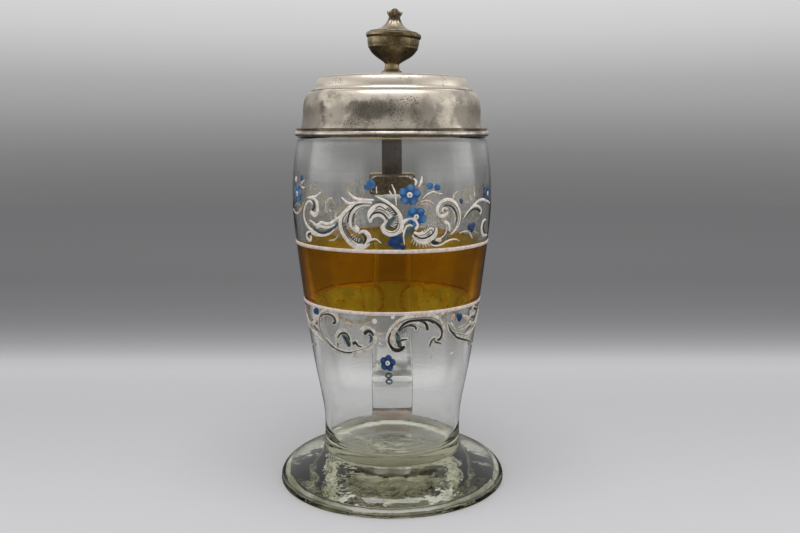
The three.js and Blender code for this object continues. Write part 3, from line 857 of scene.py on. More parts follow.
class VesselSurface:
    """Outside and inside faces of the blown vessel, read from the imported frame.

    Attributes:
        LOW: Lowest height measured outside and inside.
        HIGH: Highest height measured.
        COUNT: Number of heights.
        SEAMS: Ends of the amber band, where no ray is sent.
        BESIDE: Half of what is left out at a seam.
        CLEAR: Radius outside everything.
        ANGLES: Directions in which rays are sent.
        ORDER: Order of the smooth lines.
    """

    LOW = (18.4, 28.0)
    HIGH = 192.0
    COUNT = 140
    SEAMS = (105.0, 135.5)
    BESIDE = 0.6
    CLEAR = 90.0
    ANGLES = np.radians(np.arange(0, 10, 1.25))
    ORDER = 12

    def __init__(self) -> None:
        """Measures the two faces and fits a smooth line to each."""
        tree = self.solid("glass_body", "amber_band")
        outer = [z for z in np.linspace(self.LOW[0], self.HIGH, self.COUNT)
                 if all(abs(z - seam) > self.BESIDE for seam in self.SEAMS)]
        inner = np.linspace(self.LOW[1], self.HIGH, self.COUNT)
        self.outside = self.fit(outer, [self.hit(tree, z, self.CLEAR, -1) for z in outer])
        self.inside = self.fit(inner, [self.hit(tree, z, 0, 1) for z in inner])

    @staticmethod
    def solid(*nodes: str) -> BVHTree:
        """Search tree of some CAD nodes, in metres."""
        points: list[Vector] = []
        faces: list[list[int]] = []
        for node in nodes:
            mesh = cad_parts[node].data
            first = len(points)
            points.extend(v.co.copy() for v in mesh.vertices)
            faces.extend([first + i for i in face.vertices] for face in mesh.polygons)
        return BVHTree.FromPolygons(points, faces)

    def hit(self, tree: BVHTree, height: float, start: float, way: int) -> float:
        """Largest radius that level rays meet, in millimetres.

        Args:
            tree: Search tree of the wall.
            height: Height of the rays.
            start: Radius at which they start.
            way: 1 for outwards, -1 for inwards.

        Returns:
            The radius.
        """
        found = []
        for angle in self.ANGLES:
            ray = Vector((math.cos(angle), math.sin(angle), 0))
            origin = ray * start * MM + Vector((0, 0, height * MM))
            place = tree.ray_cast(origin, ray * way)[0]
            found.append(math.hypot(place.x, place.y) / MM)
        return max(found)

    def fit(self, heights: Iterable[float], radii: Iterable[float]) -> Callable:
        """Smooth line through measured radii."""
        return np.polynomial.Chebyshev.fit(list(heights), list(radii), self.ORDER)


@dataclass
class GlassVessel:
    """Blown vessel with its applied foot and stained band.

    Attributes:
        surface: Faces of the vessel.
        lathe: Tree that turns its outlines.
        rim_height: Height of its rim.
        rim_wall: Thickness of the wall at the rim.
        neck_radius: Radius of the neck above the foot.
        floor_height: Height of its floor inside.
        floor_fillet: Size of the round between floor and wall.
        floor_kick: How much higher the middle of the floor is.
        floor_edge: Height at which the round ends in the wall.
        foot_height: Height of the foot at the neck.
        foot_radius: Radius of the foot.
        foot_edge: Height of its outer edge.
        foot_swell: Height of the point that pulls its top up at the edge.
        cove: Radius and height of the point that pulls it in towards the neck.
        ring: Inner and outer radius of the ground ring it stands on.
        recess: Depth of the hollow between ring and pontil pad.
        pontil: Radius of the pontil pad.
        band: Lower and upper end of the stained band.
        stain_depth: Depth of the film's inner and outer face in the glass.
        sides: Number of sides of the turned pieces.
    """

    surface: VesselSurface
    lathe: Lathe
    rim_height: float = 193.0
    rim_wall: float = 2.7
    neck_radius: float = 38.7
    floor_height: float = 21.2
    floor_fillet: float = 5.0
    floor_kick: float = 4.0
    floor_edge: float = 28.5
    foot_height: float = 18.0
    foot_radius: float = 63.8
    foot_edge: float = 1.2
    foot_swell: float = 10.0
    cove: Point = (46.0, 13.0)
    ring: Point = (57.6, 62.6)
    recess: float = 1.5
    pontil: float = 12.0
    band: Point = (104.6, 135.9)
    stain_depth: Point = (0.45, 0.1)
    sides: int = 176

    def outline(self) -> Outline:
        """Outline of vessel and foot in one, from the pontil pad round to the inner floor."""
        path = Outline(0, 0).rounded(
            (self.pontil, 0, 0.5), (self.pontil + self.recess, self.recess, 1.0),
            (self.ring[0] - self.recess, self.recess, 1.0), (self.ring[0], 0, 0.5),
            (self.ring[1], 0, 0))
        path.bend((self.foot_radius, 0), (self.foot_radius, 0.4),
                  (self.foot_radius, self.foot_edge), 5)
        path.bend((self.foot_radius, self.foot_swell), self.cove,
                  (self.neck_radius + 0.25, self.foot_height - 0.3), 34)
        path.line((self.neck_radius - 0.1, self.foot_height + 0.1))
        wall_top = self.rim_height - self.rim_wall / 2
        for height in np.linspace(self.foot_height + 0.9, wall_top, 150):
            path.line((float(self.surface.outside(height)), float(height)))
        path.arc((path.points[-1][0] - self.rim_wall / 2, wall_top), self.rim_wall / 2, 0, 180)
        wall_foot = self.floor_height + self.floor_fillet
        for height in np.linspace(wall_top, self.floor_edge, 120)[1:]:
            path.line((float(self.surface.inside(height)), float(height)))
        floor = self.surface.inside(self.floor_edge) - 0.4
        path.bend((floor, wall_foot - 1), (floor - 0.5, self.floor_height),
                  (floor - self.floor_fillet - 1, self.floor_height), 8)
        path.bend((self.neck_radius / 2, self.floor_height),
                  (self.neck_radius / 4, self.floor_height + self.floor_kick),
                  (0, self.floor_height + self.floor_kick), 16)
        return path

    def build(self, glass: bpy.types.Material, amber: bpy.types.Material) -> None:
        """Makes the vessel and the stained band.

        Args:
            glass: Material of vessel and foot.
            amber: Material of the band.
        """
        vessel = self.lathe.turn("blown_vessel", self.outline(), glass, self.sides, 55)
        seat(vessel, "tankard", "clear_glass", "glass_body", "glass_foot")
        levels = np.linspace(*self.band, 24)
        under, over = self.stain_depth
        film = Outline(float(self.surface.outside(levels[0])) - under, levels[0])
        for depth, heights in ((over, levels), (under, levels[::-1])):
            for height in heights:
                film.line((float(self.surface.outside(height)) - depth, float(height)))
        sleeve = self.lathe.turn("amber_film", film, amber, self.sides)
        seat(sleeve, "tankard", "amber_stain", "amber_band")


@dataclass
class StrapHandle:
    """Glass strap drawn down from a thick upper root and curled up at the lower one.

    Attributes:
        surface: Faces of the vessel.
        root_y: Distance from the axis at which the strap starts, inside the collar.
        root_height: Height of its upper root.
        straight_end: Distance at which it starts to bend down.
        shoulder: Distance and height of the two points that pull its upper bend.
        strap_y: Greatest distance of its middle line.
        bend_height: Height at which it gets there.
        belly_height: Height of the point that pulls it below.
        elbow: Distance and height of a point on its way back to the vessel.
        elbow_pull: How far the points that pull this place lie from it.
        tail_y: Distance of the upright tail.
        tail_top: Height of the tail's upper end.
        curl_top: Height at which the tail curls up.
        tail_end: Distance and height of its tip.
        half_width: Half of the strap's width.
        depths: Half of its thickness at even steps from the root to the tip.
        rib_height: Height of the ribs along it, in half thicknesses.
        rib_turns: How closely these ribs lie.
        gap: Gap between the strap's inner side and the vessel.
    """

    surface: VesselSurface
    root_y: float = 54.0
    root_height: float = 160.5
    straight_end: float = 68.0
    shoulder: Point = (82.0, 150.5)
    strap_y: float = 89.2
    bend_height: float = 135.5
    belly_height: float = 112.5
    elbow: Point = (70.4, 70.0)
    elbow_pull: Point = (12.0, 18.0)
    tail_y: float = 43.0
    tail_top: float = 43.0
    curl_top: float = 27.0
    tail_end: Point = (50.0, 20.0)
    half_width: float = 13.5
    depths: tuple[float, ...] = (5.5, 5.4, 3.7, 3.5, 3.5, 3.5, 3.5, 3.8, 4.0, 4.0)
    rib_height: float = 0.05
    rib_turns: float = 14.0
    gap: float = 0.35

    def middle_line(self) -> np.ndarray:
        """Distance from the axis and height of points on the middle of the strap."""
        path = Outline(self.root_y, self.root_height)
        path.line((self.straight_end, self.root_height))
        path.bend((self.shoulder[0], self.root_height), (self.strap_y, self.shoulder[1]),
                  (self.strap_y, self.bend_height), 24)
        (y, z), (out, rise) = self.elbow, self.elbow_pull
        path.bend((self.strap_y, self.belly_height), (y + out, z + rise), self.elbow, 30)
        path.bend((y - out, z - rise), (self.tail_y, self.tail_top + 14),
                  (self.tail_y, self.tail_top), 24)
        path.line((self.tail_y, self.curl_top))
        knee = (self.tail_y, self.tail_end[1])
        path.bend(knee, knee, self.tail_end, 10)
        return smooth_line(path.points, 1.0)

    def tree(self) -> bpy.types.NodeTree:
        """Geometry tree that sweeps a flattened round section along the middle line."""
        growth = Growth("strap", {"Half Width": ("NodeSocketFloat", 0.0135)})
        half, depth = growth.given("Half Width"), growth.stored("half_depth")
        curve = growth.node("GeometryNodeMeshToCurve", {"Mesh": growth.given("Guide")})
        x, y, z = growth.parts(growth.position())
        curve = growth.store(growth.store(curve, "middle_y", y), "middle_z", z)
        ring = growth.node("GeometryNodeCurvePrimitiveCircle", {
            "Resolution": 40, "Radius": 1.0}, mode="RADIUS")
        body = growth.node("GeometryNodeCurveToMesh", {
            "Curve": curve, "Profile Curve": ring, "Scale": half, "Fill Caps": True})
        off_y, off_z = y - growth.stored("middle_y"), z - growth.stored("middle_z")
        across = x / half
        away = growth.math("POWER", off_y * off_y + off_z * off_z, 0.5) / half
        wide = growth.math("SIGN", across) * growth.math("POWER", across.size(), 0.5) * half
        ribs = 1 + self.rib_height * growth.math("COSINE", across * self.rib_turns)
        flat = depth / half * ribs * growth.math("POWER", growth.math("MAXIMUM", away, 0.02), -0.3)
        place = growth.vector(wide, growth.stored("middle_y") + off_y * flat,
                              growth.stored("middle_z") + off_z * flat)
        return growth.end(growth.moved(body, place))

    def build(self, glass: bpy.types.Material) -> None:
        """Makes the strap and fits its roots to the vessel's wall."""
        line = self.middle_line() * MM
        share = np.linspace(0, 1, len(line))
        depth = np.interp(share, np.linspace(0, 1, len(self.depths)), self.depths) * MM
        places = np.column_stack([np.zeros(len(line)), line])
        guide = guide_mesh("strap_line", places, [(i, i + 1) for i in range(len(line) - 1)],
                           {"half_depth": depth})
        strap = grow("strap_handle", guide, self.tree(), {
            "Half Width": self.half_width * MM, "Finish": glass})
        points = coordinates(strap.data)
        wall = (self.surface.outside(np.clip(points[:, 2] / MM, 18, 190)) + self.gap) * MM
        least = np.sqrt(np.maximum(wall ** 2 - points[:, 0] ** 2, 0))
        points[:, 1] = np.maximum(points[:, 1], least)
        reshape(strap.data, points)
        outward(strap.data, 50)
        seat(strap, "tankard", "clear_glass", "glass_handle")


# Painting


class Paint(Enum):
    """Enamel colours on the brush."""

    WHITE = "white_scrolls"
    CREAM = "cream_scrolls"
    DARK = "dark_brushwork"
    WASH = "teal_washes"
    LEAF = "green_leaves"
    PEACH = "peach_leaves"
    BLUE = "blue_petals"
    NAVY = "navy_petals"
    EYE = "flower_eyes"
    GOLD = "root_tint"


WHITE, CREAM, DARK, WASH, LEAF, PEACH, BLUE, NAVY, EYE, GOLD = Paint

# Millimetres between the glass and the underside of a stroke, so that what is painted later
# lies on top
LIFTS = {WASH: 0.02, WHITE: 0.06, CREAM: 0.04, GOLD: 0.0}
OTHER_LIFT = 0.28
CONTOUR_LIFT = 0.3
TICK_LIFT = 0.36
BERRY_LIFT = 0.1
FLOWER_LIFT = 0.12
EYE_LIFT = 0.3
DOT_LIFT = 0.42
DOT_SHARE = 0.28  # of the eye's radius
CONTOUR_INSET = 0.24  # of a stroke's width, away from its middle line
CONTOUR_SPAN = (0.12, 0.86)  # of its length


@dataclass(frozen=True)
class Stroke:
    """Brush stroke on the unrolled vessel.

    Attributes:
        paint: Its colour.
        widths: Width in millimetres at even steps from its start to its end.
        points: Distance round the vessel and height of points on its middle line.
        lift: Height of its underside above the glass, over the strokes it crosses.
    """

    paint: Paint
    widths: tuple[float, ...]
    points: tuple[Point, ...]
    lift: float = 0.0


@dataclass(frozen=True)
class Blossom:
    """Flower or berry on the unrolled vessel.

    Attributes:
        paint: Its paint.
        middle: Its middle.
        radius: Its radius.
        turn: Angle in degrees by which it is turned.
        petals: Number of petals, 1 for a round dab.
        lift: How far it lies above the glass.
    """

    paint: Paint
    middle: Point
    radius: float
    turn: float = 0.0
    petals: int = 5
    lift: float = FLOWER_LIFT


class Artwork:
    """Painted motif in the flat plane of the unrolled vessel."""

    def __init__(self) -> None:
        """Starts an empty motif."""
        self.strokes: list[Stroke] = []
        self.blossoms: list[Blossom] = []

    def brush(self, paint: Paint, width: float | Sequence[float], *points: Point,
              lift: float | None = None) -> None:
        """Paints one stroke.

        Args:
            paint: Its colour.
            width: Its width, or the widths at even steps along it.
            points: Distance round the vessel and height of points on its middle line.
            lift: Height above the glass, or none for the usual one of its colour.
        """
        lift = LIFTS.get(paint, OTHER_LIFT) if lift is None else lift
        widths = (width, width) if isinstance(width, (int, float)) else tuple(width)
        self.strokes.append(Stroke(paint, widths, points, lift))

    def ticks(self, paint: Paint, width: float, length: float, count: int, lean: float,
              *points: Point) -> None:
        """Paints a row of short strokes along a line.

        Args:
            paint: Their colour.
            width: Their width.
            length: Their length.
            count: How many there are.
            lean: Angle between them and the line, in degrees.
            points: Points of the line.
        """
        line = smooth_line(points)
        for share in np.linspace(0.04, 0.96, count):
            place = share * (len(line) - 1)
            i = min(int(place), len(line) - 2)
            here = line[i] + (place - i) * (line[i + 1] - line[i])
            way = line[i + 1] - line[i]
            angle = math.atan2(way[1], way[0]) + math.radians(lean)
            end = here + length * np.array([math.cos(angle), math.sin(angle)])
            aside = np.array([-math.sin(angle), math.cos(angle)])
            middle = (here + end) / 2 + 0.12 * length * aside
            self.brush(paint, (width, width * 0.5), tuple(here), tuple(middle), tuple(end),
                       lift=TICK_LIFT)

    def flower(self, paint: Paint, middle: Point, radius: float, turn: float = 0,
               eye: float = 1.2) -> None:
        """Paints a forget-me-not with its eye."""
        self.blossoms.append(Blossom(paint, middle, radius, turn))
        if eye:
            self.blossoms.append(Blossom(EYE, middle, eye, turn, 1, EYE_LIFT))
            self.blossoms.append(Blossom(DARK, middle, eye * DOT_SHARE, turn, 1, DOT_LIFT))

    def berry(self, paint: Paint, *middles: Triple) -> None:
        """Paints round dabs, each with its middle and radius."""
        for across, height, radius in middles:
            self.blossoms.append(Blossom(paint, (across, height), radius, 0, 1, BERRY_LIFT))

    def broaden(self, paint: Paint, share: float) -> None:
        """Makes the strokes of one paint broader."""
        for i, item in enumerate(self.strokes):
            if item.paint is paint:
                self.strokes[i] = replace(item, widths=tuple(w * share for w in item.widths))

    def contour(self, paint: Paint, least: float, width: float) -> None:
        """Draws a thin dark line along the inner side of each broad stroke of one paint."""
        for item in [s for s in self.strokes if s.paint is paint and max(s.widths) > least]:
            line = smooth_line(item.points)
            way = np.gradient(line, axis=0)
            way /= np.maximum(np.linalg.norm(way, axis=1), 1e-6)[:, None]
            turn = way[:-1, 0] * way[1:, 1] - way[:-1, 1] * way[1:, 0]
            side = 1 if turn.sum() > 0 else -1
            share = np.linspace(0, 1, len(line))
            widths = np.interp(share, np.linspace(0, 1, len(item.widths)), item.widths)
            aside = np.column_stack([-way[:, 1], way[:, 0]])
            inner = line + side * CONTOUR_INSET * widths[:, None] * aside
            first, last = (int(share * len(line)) for share in CONTOUR_SPAN)
            points = [tuple(p) for p in inner[first:last:3]]
            if len(points) > 2:
                self.brush(DARK, (width * 0.6, width * 1.4, width * 0.6), *points,
                           lift=CONTOUR_LIFT)

    def underlay(self, top: Paint, bottom: Paint, least: float, wider: float) -> None:
        """Lays a wider stroke of another paint under each broad stroke of one paint."""
        for item in [s for s in self.strokes if s.paint is top and max(s.widths) > least]:
            widths = tuple(width + wider for width in item.widths)
            self.strokes.append(Stroke(bottom, widths, item.points, 0.0))

    def add(self, other: "Artwork", shift: float = 0, mirrored: bool = False,
            without: Sequence[Paint] = ()) -> None:
        """Adds another motif.

        Args:
            other: The motif.
            shift: How far it is moved round the vessel.
            mirrored: Whether it is mirrored.
            without: Paints that are left out.
        """
        way = -1 if mirrored else 1
        for item in other.strokes:
            points = tuple((way * x + shift, y) for x, y in item.points)
            if item.paint not in without:
                self.strokes.append(replace(item, points=points))
        for item in other.blossoms:
            middle = (way * item.middle[0] + shift, item.middle[1])
            if item.paint not in without:
                self.blossoms.append(replace(item, middle=middle))


def smooth_line(points: Sequence[Point], step: float = 0.7) -> np.ndarray:
    """Smooth curve through some points.

    Args:
        points: The points.
        step: Distance between the samples of the curve.

    Returns:
        Samples of the curve.
    """
    knots = np.array(points, float)
    if len(knots) < 3:
        length = float(np.linalg.norm(knots[-1] - knots[0]))
        return np.linspace(knots[0], knots[-1], max(3, int(length / step)))
    ends = np.vstack([2 * knots[0] - knots[1], knots, 2 * knots[-1] - knots[-2]])
    samples = [knots[0]]
    for p0, p1, p2, p3 in zip(ends, ends[1:], ends[2:], ends[3:]):
        count = max(2, int(np.linalg.norm(p2 - p1) / step))
        for t in np.linspace(0, 1, count + 1)[1:]:
            samples.append(0.5 * (2 * p1 + (p2 - p0) * t
                                  + (2 * p0 - 5 * p1 + 4 * p2 - p3) * t ** 2
                                  + (3 * p1 - p0 - 3 * p2 + p3) * t ** 3))
    return np.array(samples)


class StrokeTree:
    """Geometry tree that gives guide lines the rounded body of a brush stroke."""

    def __init__(self) -> None:
        """Builds the tree."""
        growth = Growth("brush_strokes", {"Thickness": ("NodeSocketFloat", 0.0003)})
        half, lift = growth.stored("half_width"), growth.stored("lift")
        curve = growth.node("GeometryNodeMeshToCurve", {"Mesh": growth.given("Guide")})
        curve = growth.node("GeometryNodeSetCurveNormal", {"Curve": curve}, mode="Z_UP")
        arch = growth.node("GeometryNodeCurveArc", {
            "Resolution": 6, "Radius": 1.0, "Start Angle": 0.0, "Sweep Angle": math.pi})
        arch = growth.node("GeometryNodeSetSplineCyclic", {"Geometry": arch, "Cyclic": True})
        body = growth.node("GeometryNodeCurveToMesh", {
            "Curve": curve, "Profile Curve": arch, "Scale": half, "Fill Caps": True})
        x, y, z = growth.parts(growth.position())
        height = lift + growth.given("Thickness") * z.size() / half
        self.tree = growth.end(growth.moved(body, growth.vector(x, y, height)))

    @staticmethod
    def guide(name: str, strokes: Sequence[Stroke]) -> bpy.types.Mesh:
        """Guide lines of some strokes, with round ends.

        Args:
            name: Name of the mesh.
            strokes: The strokes.

        Returns:
            Mesh of their middle lines.
        """
        places, halves, lifts, edges = [], [], [], []
        for stroke in strokes:
            line = smooth_line(stroke.points)
            first, last = stroke.widths[0] / 2, stroke.widths[-1] / 2
            start = line[0] - first * unit(line[1] - line[0])
            end = line[-1] + last * unit(line[-1] - line[-2])
            line = np.vstack([start, line, end])
            along = np.concatenate([[0], np.cumsum(np.linalg.norm(np.diff(line, axis=0), axis=1))])
            total = along[-1]
            caps = np.array([0.04, 0.3, 0.7])
            spots = np.unique(np.concatenate([
                caps * first, np.linspace(first, total - last, len(line)), total - caps * last]))
            spots = spots[np.concatenate([[True], np.diff(spots) > 0.01])]
            steps = np.linspace(0, total, len(stroke.widths))
            half = np.interp(spots, steps, stroke.widths) / 2
            for distance, size in ((spots, first), (total - spots, last)):
                short = np.clip(1 - distance / max(size, 0.01), 0, 1)
                half = half * np.sqrt(np.maximum(1 - short ** 2, 0.01))
            base = len(places)
            places.extend(zip(np.interp(spots, along, line[:, 0]) * MM,
                              np.interp(spots, along, line[:, 1]) * MM, np.zeros(len(spots))))
            halves.extend(half * MM)
            lifts.extend([stroke.lift * MM] * len(spots))
            edges.extend((base + i, base + i + 1) for i in range(len(spots) - 1))
        return guide_mesh(name, np.array(places), edges,
                          {"half_width": np.array(halves), "lift": np.array(lifts)})


def unit(vector: np.ndarray) -> np.ndarray:
    """Vector of length one."""
    return vector / max(float(np.linalg.norm(vector)), 1e-9)


class BlossomTree:
    """Geometry tree that sets a ring of rounded petals on each guide point."""

    def __init__(self) -> None:
        """Builds the tree."""
        growth = Growth("blossoms", {
            "Petals": ("NodeSocketInt", 5), "Ring": ("NodeSocketFloat", 0.55),
            "Petal": ("NodeSocketFloat", 0.46), "Thickness": ("NodeSocketFloat", 0.0003),
            "Seed": ("NodeSocketInt", 3)})
        dab = growth.node("GeometryNodeMeshUVSphere", {"Segments": 12, "Rings": 6, "Radius": 1.0})
        x, y, z = growth.parts(growth.position())
        flat = growth.moved(dab, growth.vector(x, y, growth.math("MAXIMUM", z, 0.0)))
        angle = growth.number() * (2 * math.pi) / growth.given("Petals")
        away = growth.given("Ring")
        ring = growth.node("GeometryNodePoints", {
            "Count": growth.given("Petals"),
            "Position": growth.vector(away * growth.math("COSINE", angle),
                                      away * growth.math("SINE", angle), 0.0)})
        petal = growth.given("Petal")
        uneven = growth.node("FunctionNodeRandomValue", {
            2: 0.86, 3: 1.12, "Seed": growth.given("Seed")}, 1, data_type="FLOAT")
        petals = growth.node("GeometryNodeInstanceOnPoints", {
            "Points": ring, "Instance": flat,
            "Scale": growth.vector(petal * uneven, petal * uneven, 1.0)})
        one = growth.node("GeometryNodeRealizeInstances", {"Geometry": petals})
        reach = growth.node("ShaderNodeVectorMath", {0: growth.position()}, "Value",
                            operation="LENGTH")
        one = growth.store(one, "reach", reach)
        size = growth.stored("size")
        points = growth.node("GeometryNodeMeshToPoints", {"Mesh": growth.given("Guide")})
        flowers = growth.node("GeometryNodeInstanceOnPoints", {
            "Points": points, "Instance": one,
            "Rotation": growth.vector(0.0, 0.0, growth.stored("turn")),
            "Scale": growth.vector(size, size, growth.given("Thickness"))})
        self.tree = growth.end(flowers)

    @staticmethod
    def guide(name: str, blossoms: Sequence[Blossom]) -> bpy.types.Mesh:
        """Guide points of some blossoms."""
        places = np.array([(b.middle[0] * MM, b.middle[1] * MM, b.lift * MM) for b in blossoms])
        return guide_mesh(name, places, [], {
            "size": np.array([b.radius * MM for b in blossoms]),
            "turn": np.radians([b.turn for b in blossoms])})


@dataclass
class EnamelPainting:
    """White lines, scrolls and flowers painted on the outside of the vessel.

    Attributes:
        surface: Faces of the vessel.
        unrolled_radius: Radius at which the flat artwork fits round the vessel.
        thickness: How far the middle of a stroke rises above its underside.
        dab: The same of a petal or berry.
        petal_ring: Distance of the petals from the eye, in radii of the flower.
        petal_size: Radius of a petal, in radii of the flower.
        seed: Seed of the uneven petals.
        line_raise: How far the white lines rise above the glass.
        line_heights: Heights of the lower and the upper line.
        line_starts: Where each line starts and ends, round the vessel.
        line_seeds: Seeds of their wander.
        line_width: Mean width of the lines.
        line_points: Points round each line.
        line_drift: Spread of their height before it is calmed.
        line_swell: Spread of their width before it is calmed.
        line_overlap: How far the end of a line covers its start.
        line_calm: Points over which drift and swell are averaged.
        back: How far round the motifs are repeated at the back.
        upper_back: How much farther the upper ones are.
        contour_width: Width of the thin dark lines inside the scrolls.
        round_off: Angle in degrees up to which the paint is shaded smooth.
    """

    surface: VesselSurface
    unrolled_radius: float = 52.0
    thickness: float = 0.3
    dab: float = 0.2
    petal_ring: float = 0.6
    petal_size: float = 0.43
    seed: int = 3
    line_raise: float = 0.35
    line_heights: Point = (104.0, 136.5)
    line_starts: Point = (-30.0, 39.6)
    line_seeds: tuple[int, int] = (4, 9)
    line_width: float = 2.0
    line_points: int = 90
    line_drift: float = 0.16
    line_swell: float = 0.3
    line_overlap: float = 1.0
    line_calm: int = 9
    back: float = 108.0
    upper_back: float = 4.0
    contour_width: float = 0.3
    round_off: float = 60.0

    def wrap(self, mesh: bpy.types.Mesh) -> None:
        """Rolls a flat painted mesh onto the outside of the vessel."""
        flat = coordinates(mesh)
        angle = flat[:, 0] / MM / self.unrolled_radius
        radius = self.surface.outside(flat[:, 1] / MM) * MM + flat[:, 2]
        reshape(mesh, np.column_stack([
            radius * np.sin(angle), -radius * np.cos(angle), flat[:, 1]]))

    def lines(self, strokes: StrokeTree, finish: bpy.types.Material) -> None:
        """Paints the two white lines at the edges of the band, each closed on itself."""
        length = 2 * math.pi * self.unrolled_radius + self.line_overlap
        calm = np.ones(self.line_calm) / self.line_calm
        draws = self.line_points + self.line_calm - 1
        for name, height, start, seed in zip(("lower", "upper"), self.line_heights,
                                             self.line_starts, self.line_seeds):
            wander = np.random.default_rng(seed)
            across = np.linspace(start, start - length, self.line_points)
            drift = np.convolve(wander.normal(0, self.line_drift, draws), calm, "valid")
            swell = np.convolve(wander.normal(0, self.line_swell, draws), calm, "valid")
            points = tuple(zip(across, height + drift))
            stroke = Stroke(WHITE, tuple(self.line_width + swell), points)
            node = f"enamel_line_{name}"
            guide = strokes.guide(node + "_guide", [stroke])
            piece = grow(f"white_line_{name}", guide, strokes.tree, {
                "Thickness": self.line_raise * MM, "Finish": finish})
            self.wrap(piece.data)
            outward(piece.data, self.round_off)
            seat(piece, "tankard", "white_enamel", node)

    def upper_left(self) -> Artwork:
        """Left end of the upper frieze."""
        art = Artwork()
        brush, flower, berry = art.brush, art.flower, art.berry
        brush(WHITE, (0.6, 1.3, 0.7), (-48, 162.2), (-44, 162.7), (-41, 163.2), (-39, 164.3),
              (-37.5, 165.3))
        brush(WHITE, (2.6, 2.4, 1.8, 0.6), (-44.5, 154.5), (-42.5, 153.5), (-40.5, 154.8),
              (-39.8, 157.5), (-40.5, 160.5), (-42.5, 162), (-46, 162))
        brush(DARK, (1.4, 1.3, 0.4), (-43.3, 156.3), (-42, 158), (-42.5, 160), (-44, 161.2))
        brush(WHITE, (1.2, 1.2, 1.6, 1.2), (-43.5, 159.5), (-45.5, 160.4), (-48, 159.7), (-50.3, 157.3),
              (-52, 153.5), (-51.5, 150), (-49, 147), (-46.5, 145.5), (-43, 144))
        brush(WHITE, (0.8, 1.8, 1.6, 0.7), (-46.5, 150.5), (-44, 149.5), (-41.5, 148.3), (-39.5, 148.8),
              (-37.5, 150), (-35, 149.5), (-32, 149.8), (-29.5, 151.3), (-27, 153), (-24.5, 154.8))
        brush(WHITE, (0.8, 1.6, 0.9), (-41, 147), (-38, 148), (-35, 147.5), (-32, 148), (-29.5, 149.2))
        brush(WASH, (1.2, 2.2, 2.4, 1.0), (-45.5, 148), (-43, 146.5), (-40.5, 145.3), (-38, 144.7),
              (-35, 145), (-33, 146.3), (-31, 147.2), (-28.5, 149), (-27.5, 150.3))
        brush(DARK, (0.4, 1.2, 0.4), (-44.5, 147.4), (-42, 145.9), (-39, 144.9), (-36, 145),
              (-33.5, 146), (-31, 147.2), lift=0.12)
        brush(WHITE, (0.8, 1.6, 1.5, 0.6), (-50, 148), (-47, 146.3), (-44, 144.7), (-41, 143.8),
              (-38, 143.4), (-35, 143.8), (-32, 145), (-29.5, 147))
        brush(WHITE, (0.6, 1.1, 0.5), (-48, 144.5), (-45, 143.5), (-42, 143), (-38, 142.8))
        brush(WHITE, (1.2, 1.8, 2.0, 1.4), (-46, 144.3), (-49, 143.8), (-51, 142.5), (-51, 140.8),
              (-49.3, 139.8), (-47.2, 140.3), (-46.8, 141.8))
        brush(DARK, (1.2, 1.0, 0.4), (-46.5, 143.7), (-48.5, 143.2), (-49.5, 142))
        brush(CREAM, (0.4, 0.9, 0.5), (-33, 141), (-30.5, 141.5), (-28.5, 142.7), (-27.8, 144))
        brush(CREAM, (0.5, 1.0, 0.6), (-33.5, 155.5), (-34.2, 158), (-33.6, 160.6), (-32, 162.3),
              (-30.3, 162.6))
        brush(CREAM, (0.8, 0.5), (-31.8, 156.8), (-30.9, 155.9))
        brush(CREAM, (0.9, 0.5), (-28.5, 153.2), (-27.8, 155.6))
        flower(BLUE, (-59.5, 163.5), 5.2, 10, 1.5)
        brush(CREAM, (0.5, 1.4, 0.5), (-56, 168), (-53, 170), (-51, 171))
        brush(CREAM, (0.5, 1.3, 0.5), (-54.5, 167.5), (-52, 166.9), (-50.2, 167.3))
        berry(NAVY, (-54, 172, 1.7))
        brush(LEAF, (0.7, 2.0, 0.8), (-63, 157), (-59, 158.2), (-55.5, 157.4))
        berry(EYE, (-62, 171, 1.5))
        brush(PEACH, (0.5, 0.9, 0.4), (-55, 154), (-53, 157), (-51.5, 159.5))
        brush(CREAM, (0.5, 1.4, 1.0), (-69, 154.5), (-64, 152.8), (-59, 153.4), (-55.5, 156))
        return art

    def upper_shell(self) -> Artwork:
        """Great double scroll left of the middle of the upper frieze."""
        art = Artwork()
        brush, ticks = art.brush, art.ticks
        brush(WHITE, (1.2, 2.4, 2.9, 3.0, 2.4), (-10, 161), (-17, 160), (-21.5, 157), (-24.5, 153.5),
              (-25.3, 150), (-24.5, 146), (-22.5, 143), (-20, 140.3), (-17, 138.8), (-14, 139.2),
              (-12, 140.8))
        ticks(DARK, 0.66, 1.5, 12, 70, (-24.3, 151), (-23.6, 147.4), (-21.8, 144.2), (-19.4, 142))
        brush(DARK, (0.4, 0.9, 0.6), (-10, 160.5), (-16, 160.3), (-19.5, 157.5), (-21, 154.5),
              (-21.7, 151))
        brush(WHITE, (0.8, 2.2, 3.0, 2.8), (-10.5, 160), (-14, 159.5), (-17.5, 157.5), (-19.2, 154.5),
              (-19.5, 151), (-18.8, 148.8), (-17.2, 147.5))
        ticks(DARK, 0.6, 1.2, 9, 80, (-18.4, 155.6), (-19.4, 152), (-19, 149))
        brush(WASH, (1.4, 2.8, 1.8), (-19.2, 143.4), (-17, 142), (-15, 142.4))
        brush(WHITE, (0.8, 1.9, 2.0, 1.2), (-16, 145.8), (-14, 146.7), (-12, 145.8), (-11, 143.5),
              (-12, 141), (-13.5, 139.8))
        brush(DARK, (0.6, 1.2, 0.7), (-14.5, 145.5), (-13, 144), (-13, 142), (-14, 140.5))
        brush(WHITE, (0.9, 1.0, 0.4), (-13, 140), (-10, 142.3), (-8.5, 143), (-7, 142.5), (-5.5, 141))
        brush(DARK, (0.3, 0.6, 0.3), (-12, 140.5), (-10, 141.7), (-8.5, 142), (-7.5, 141.6))
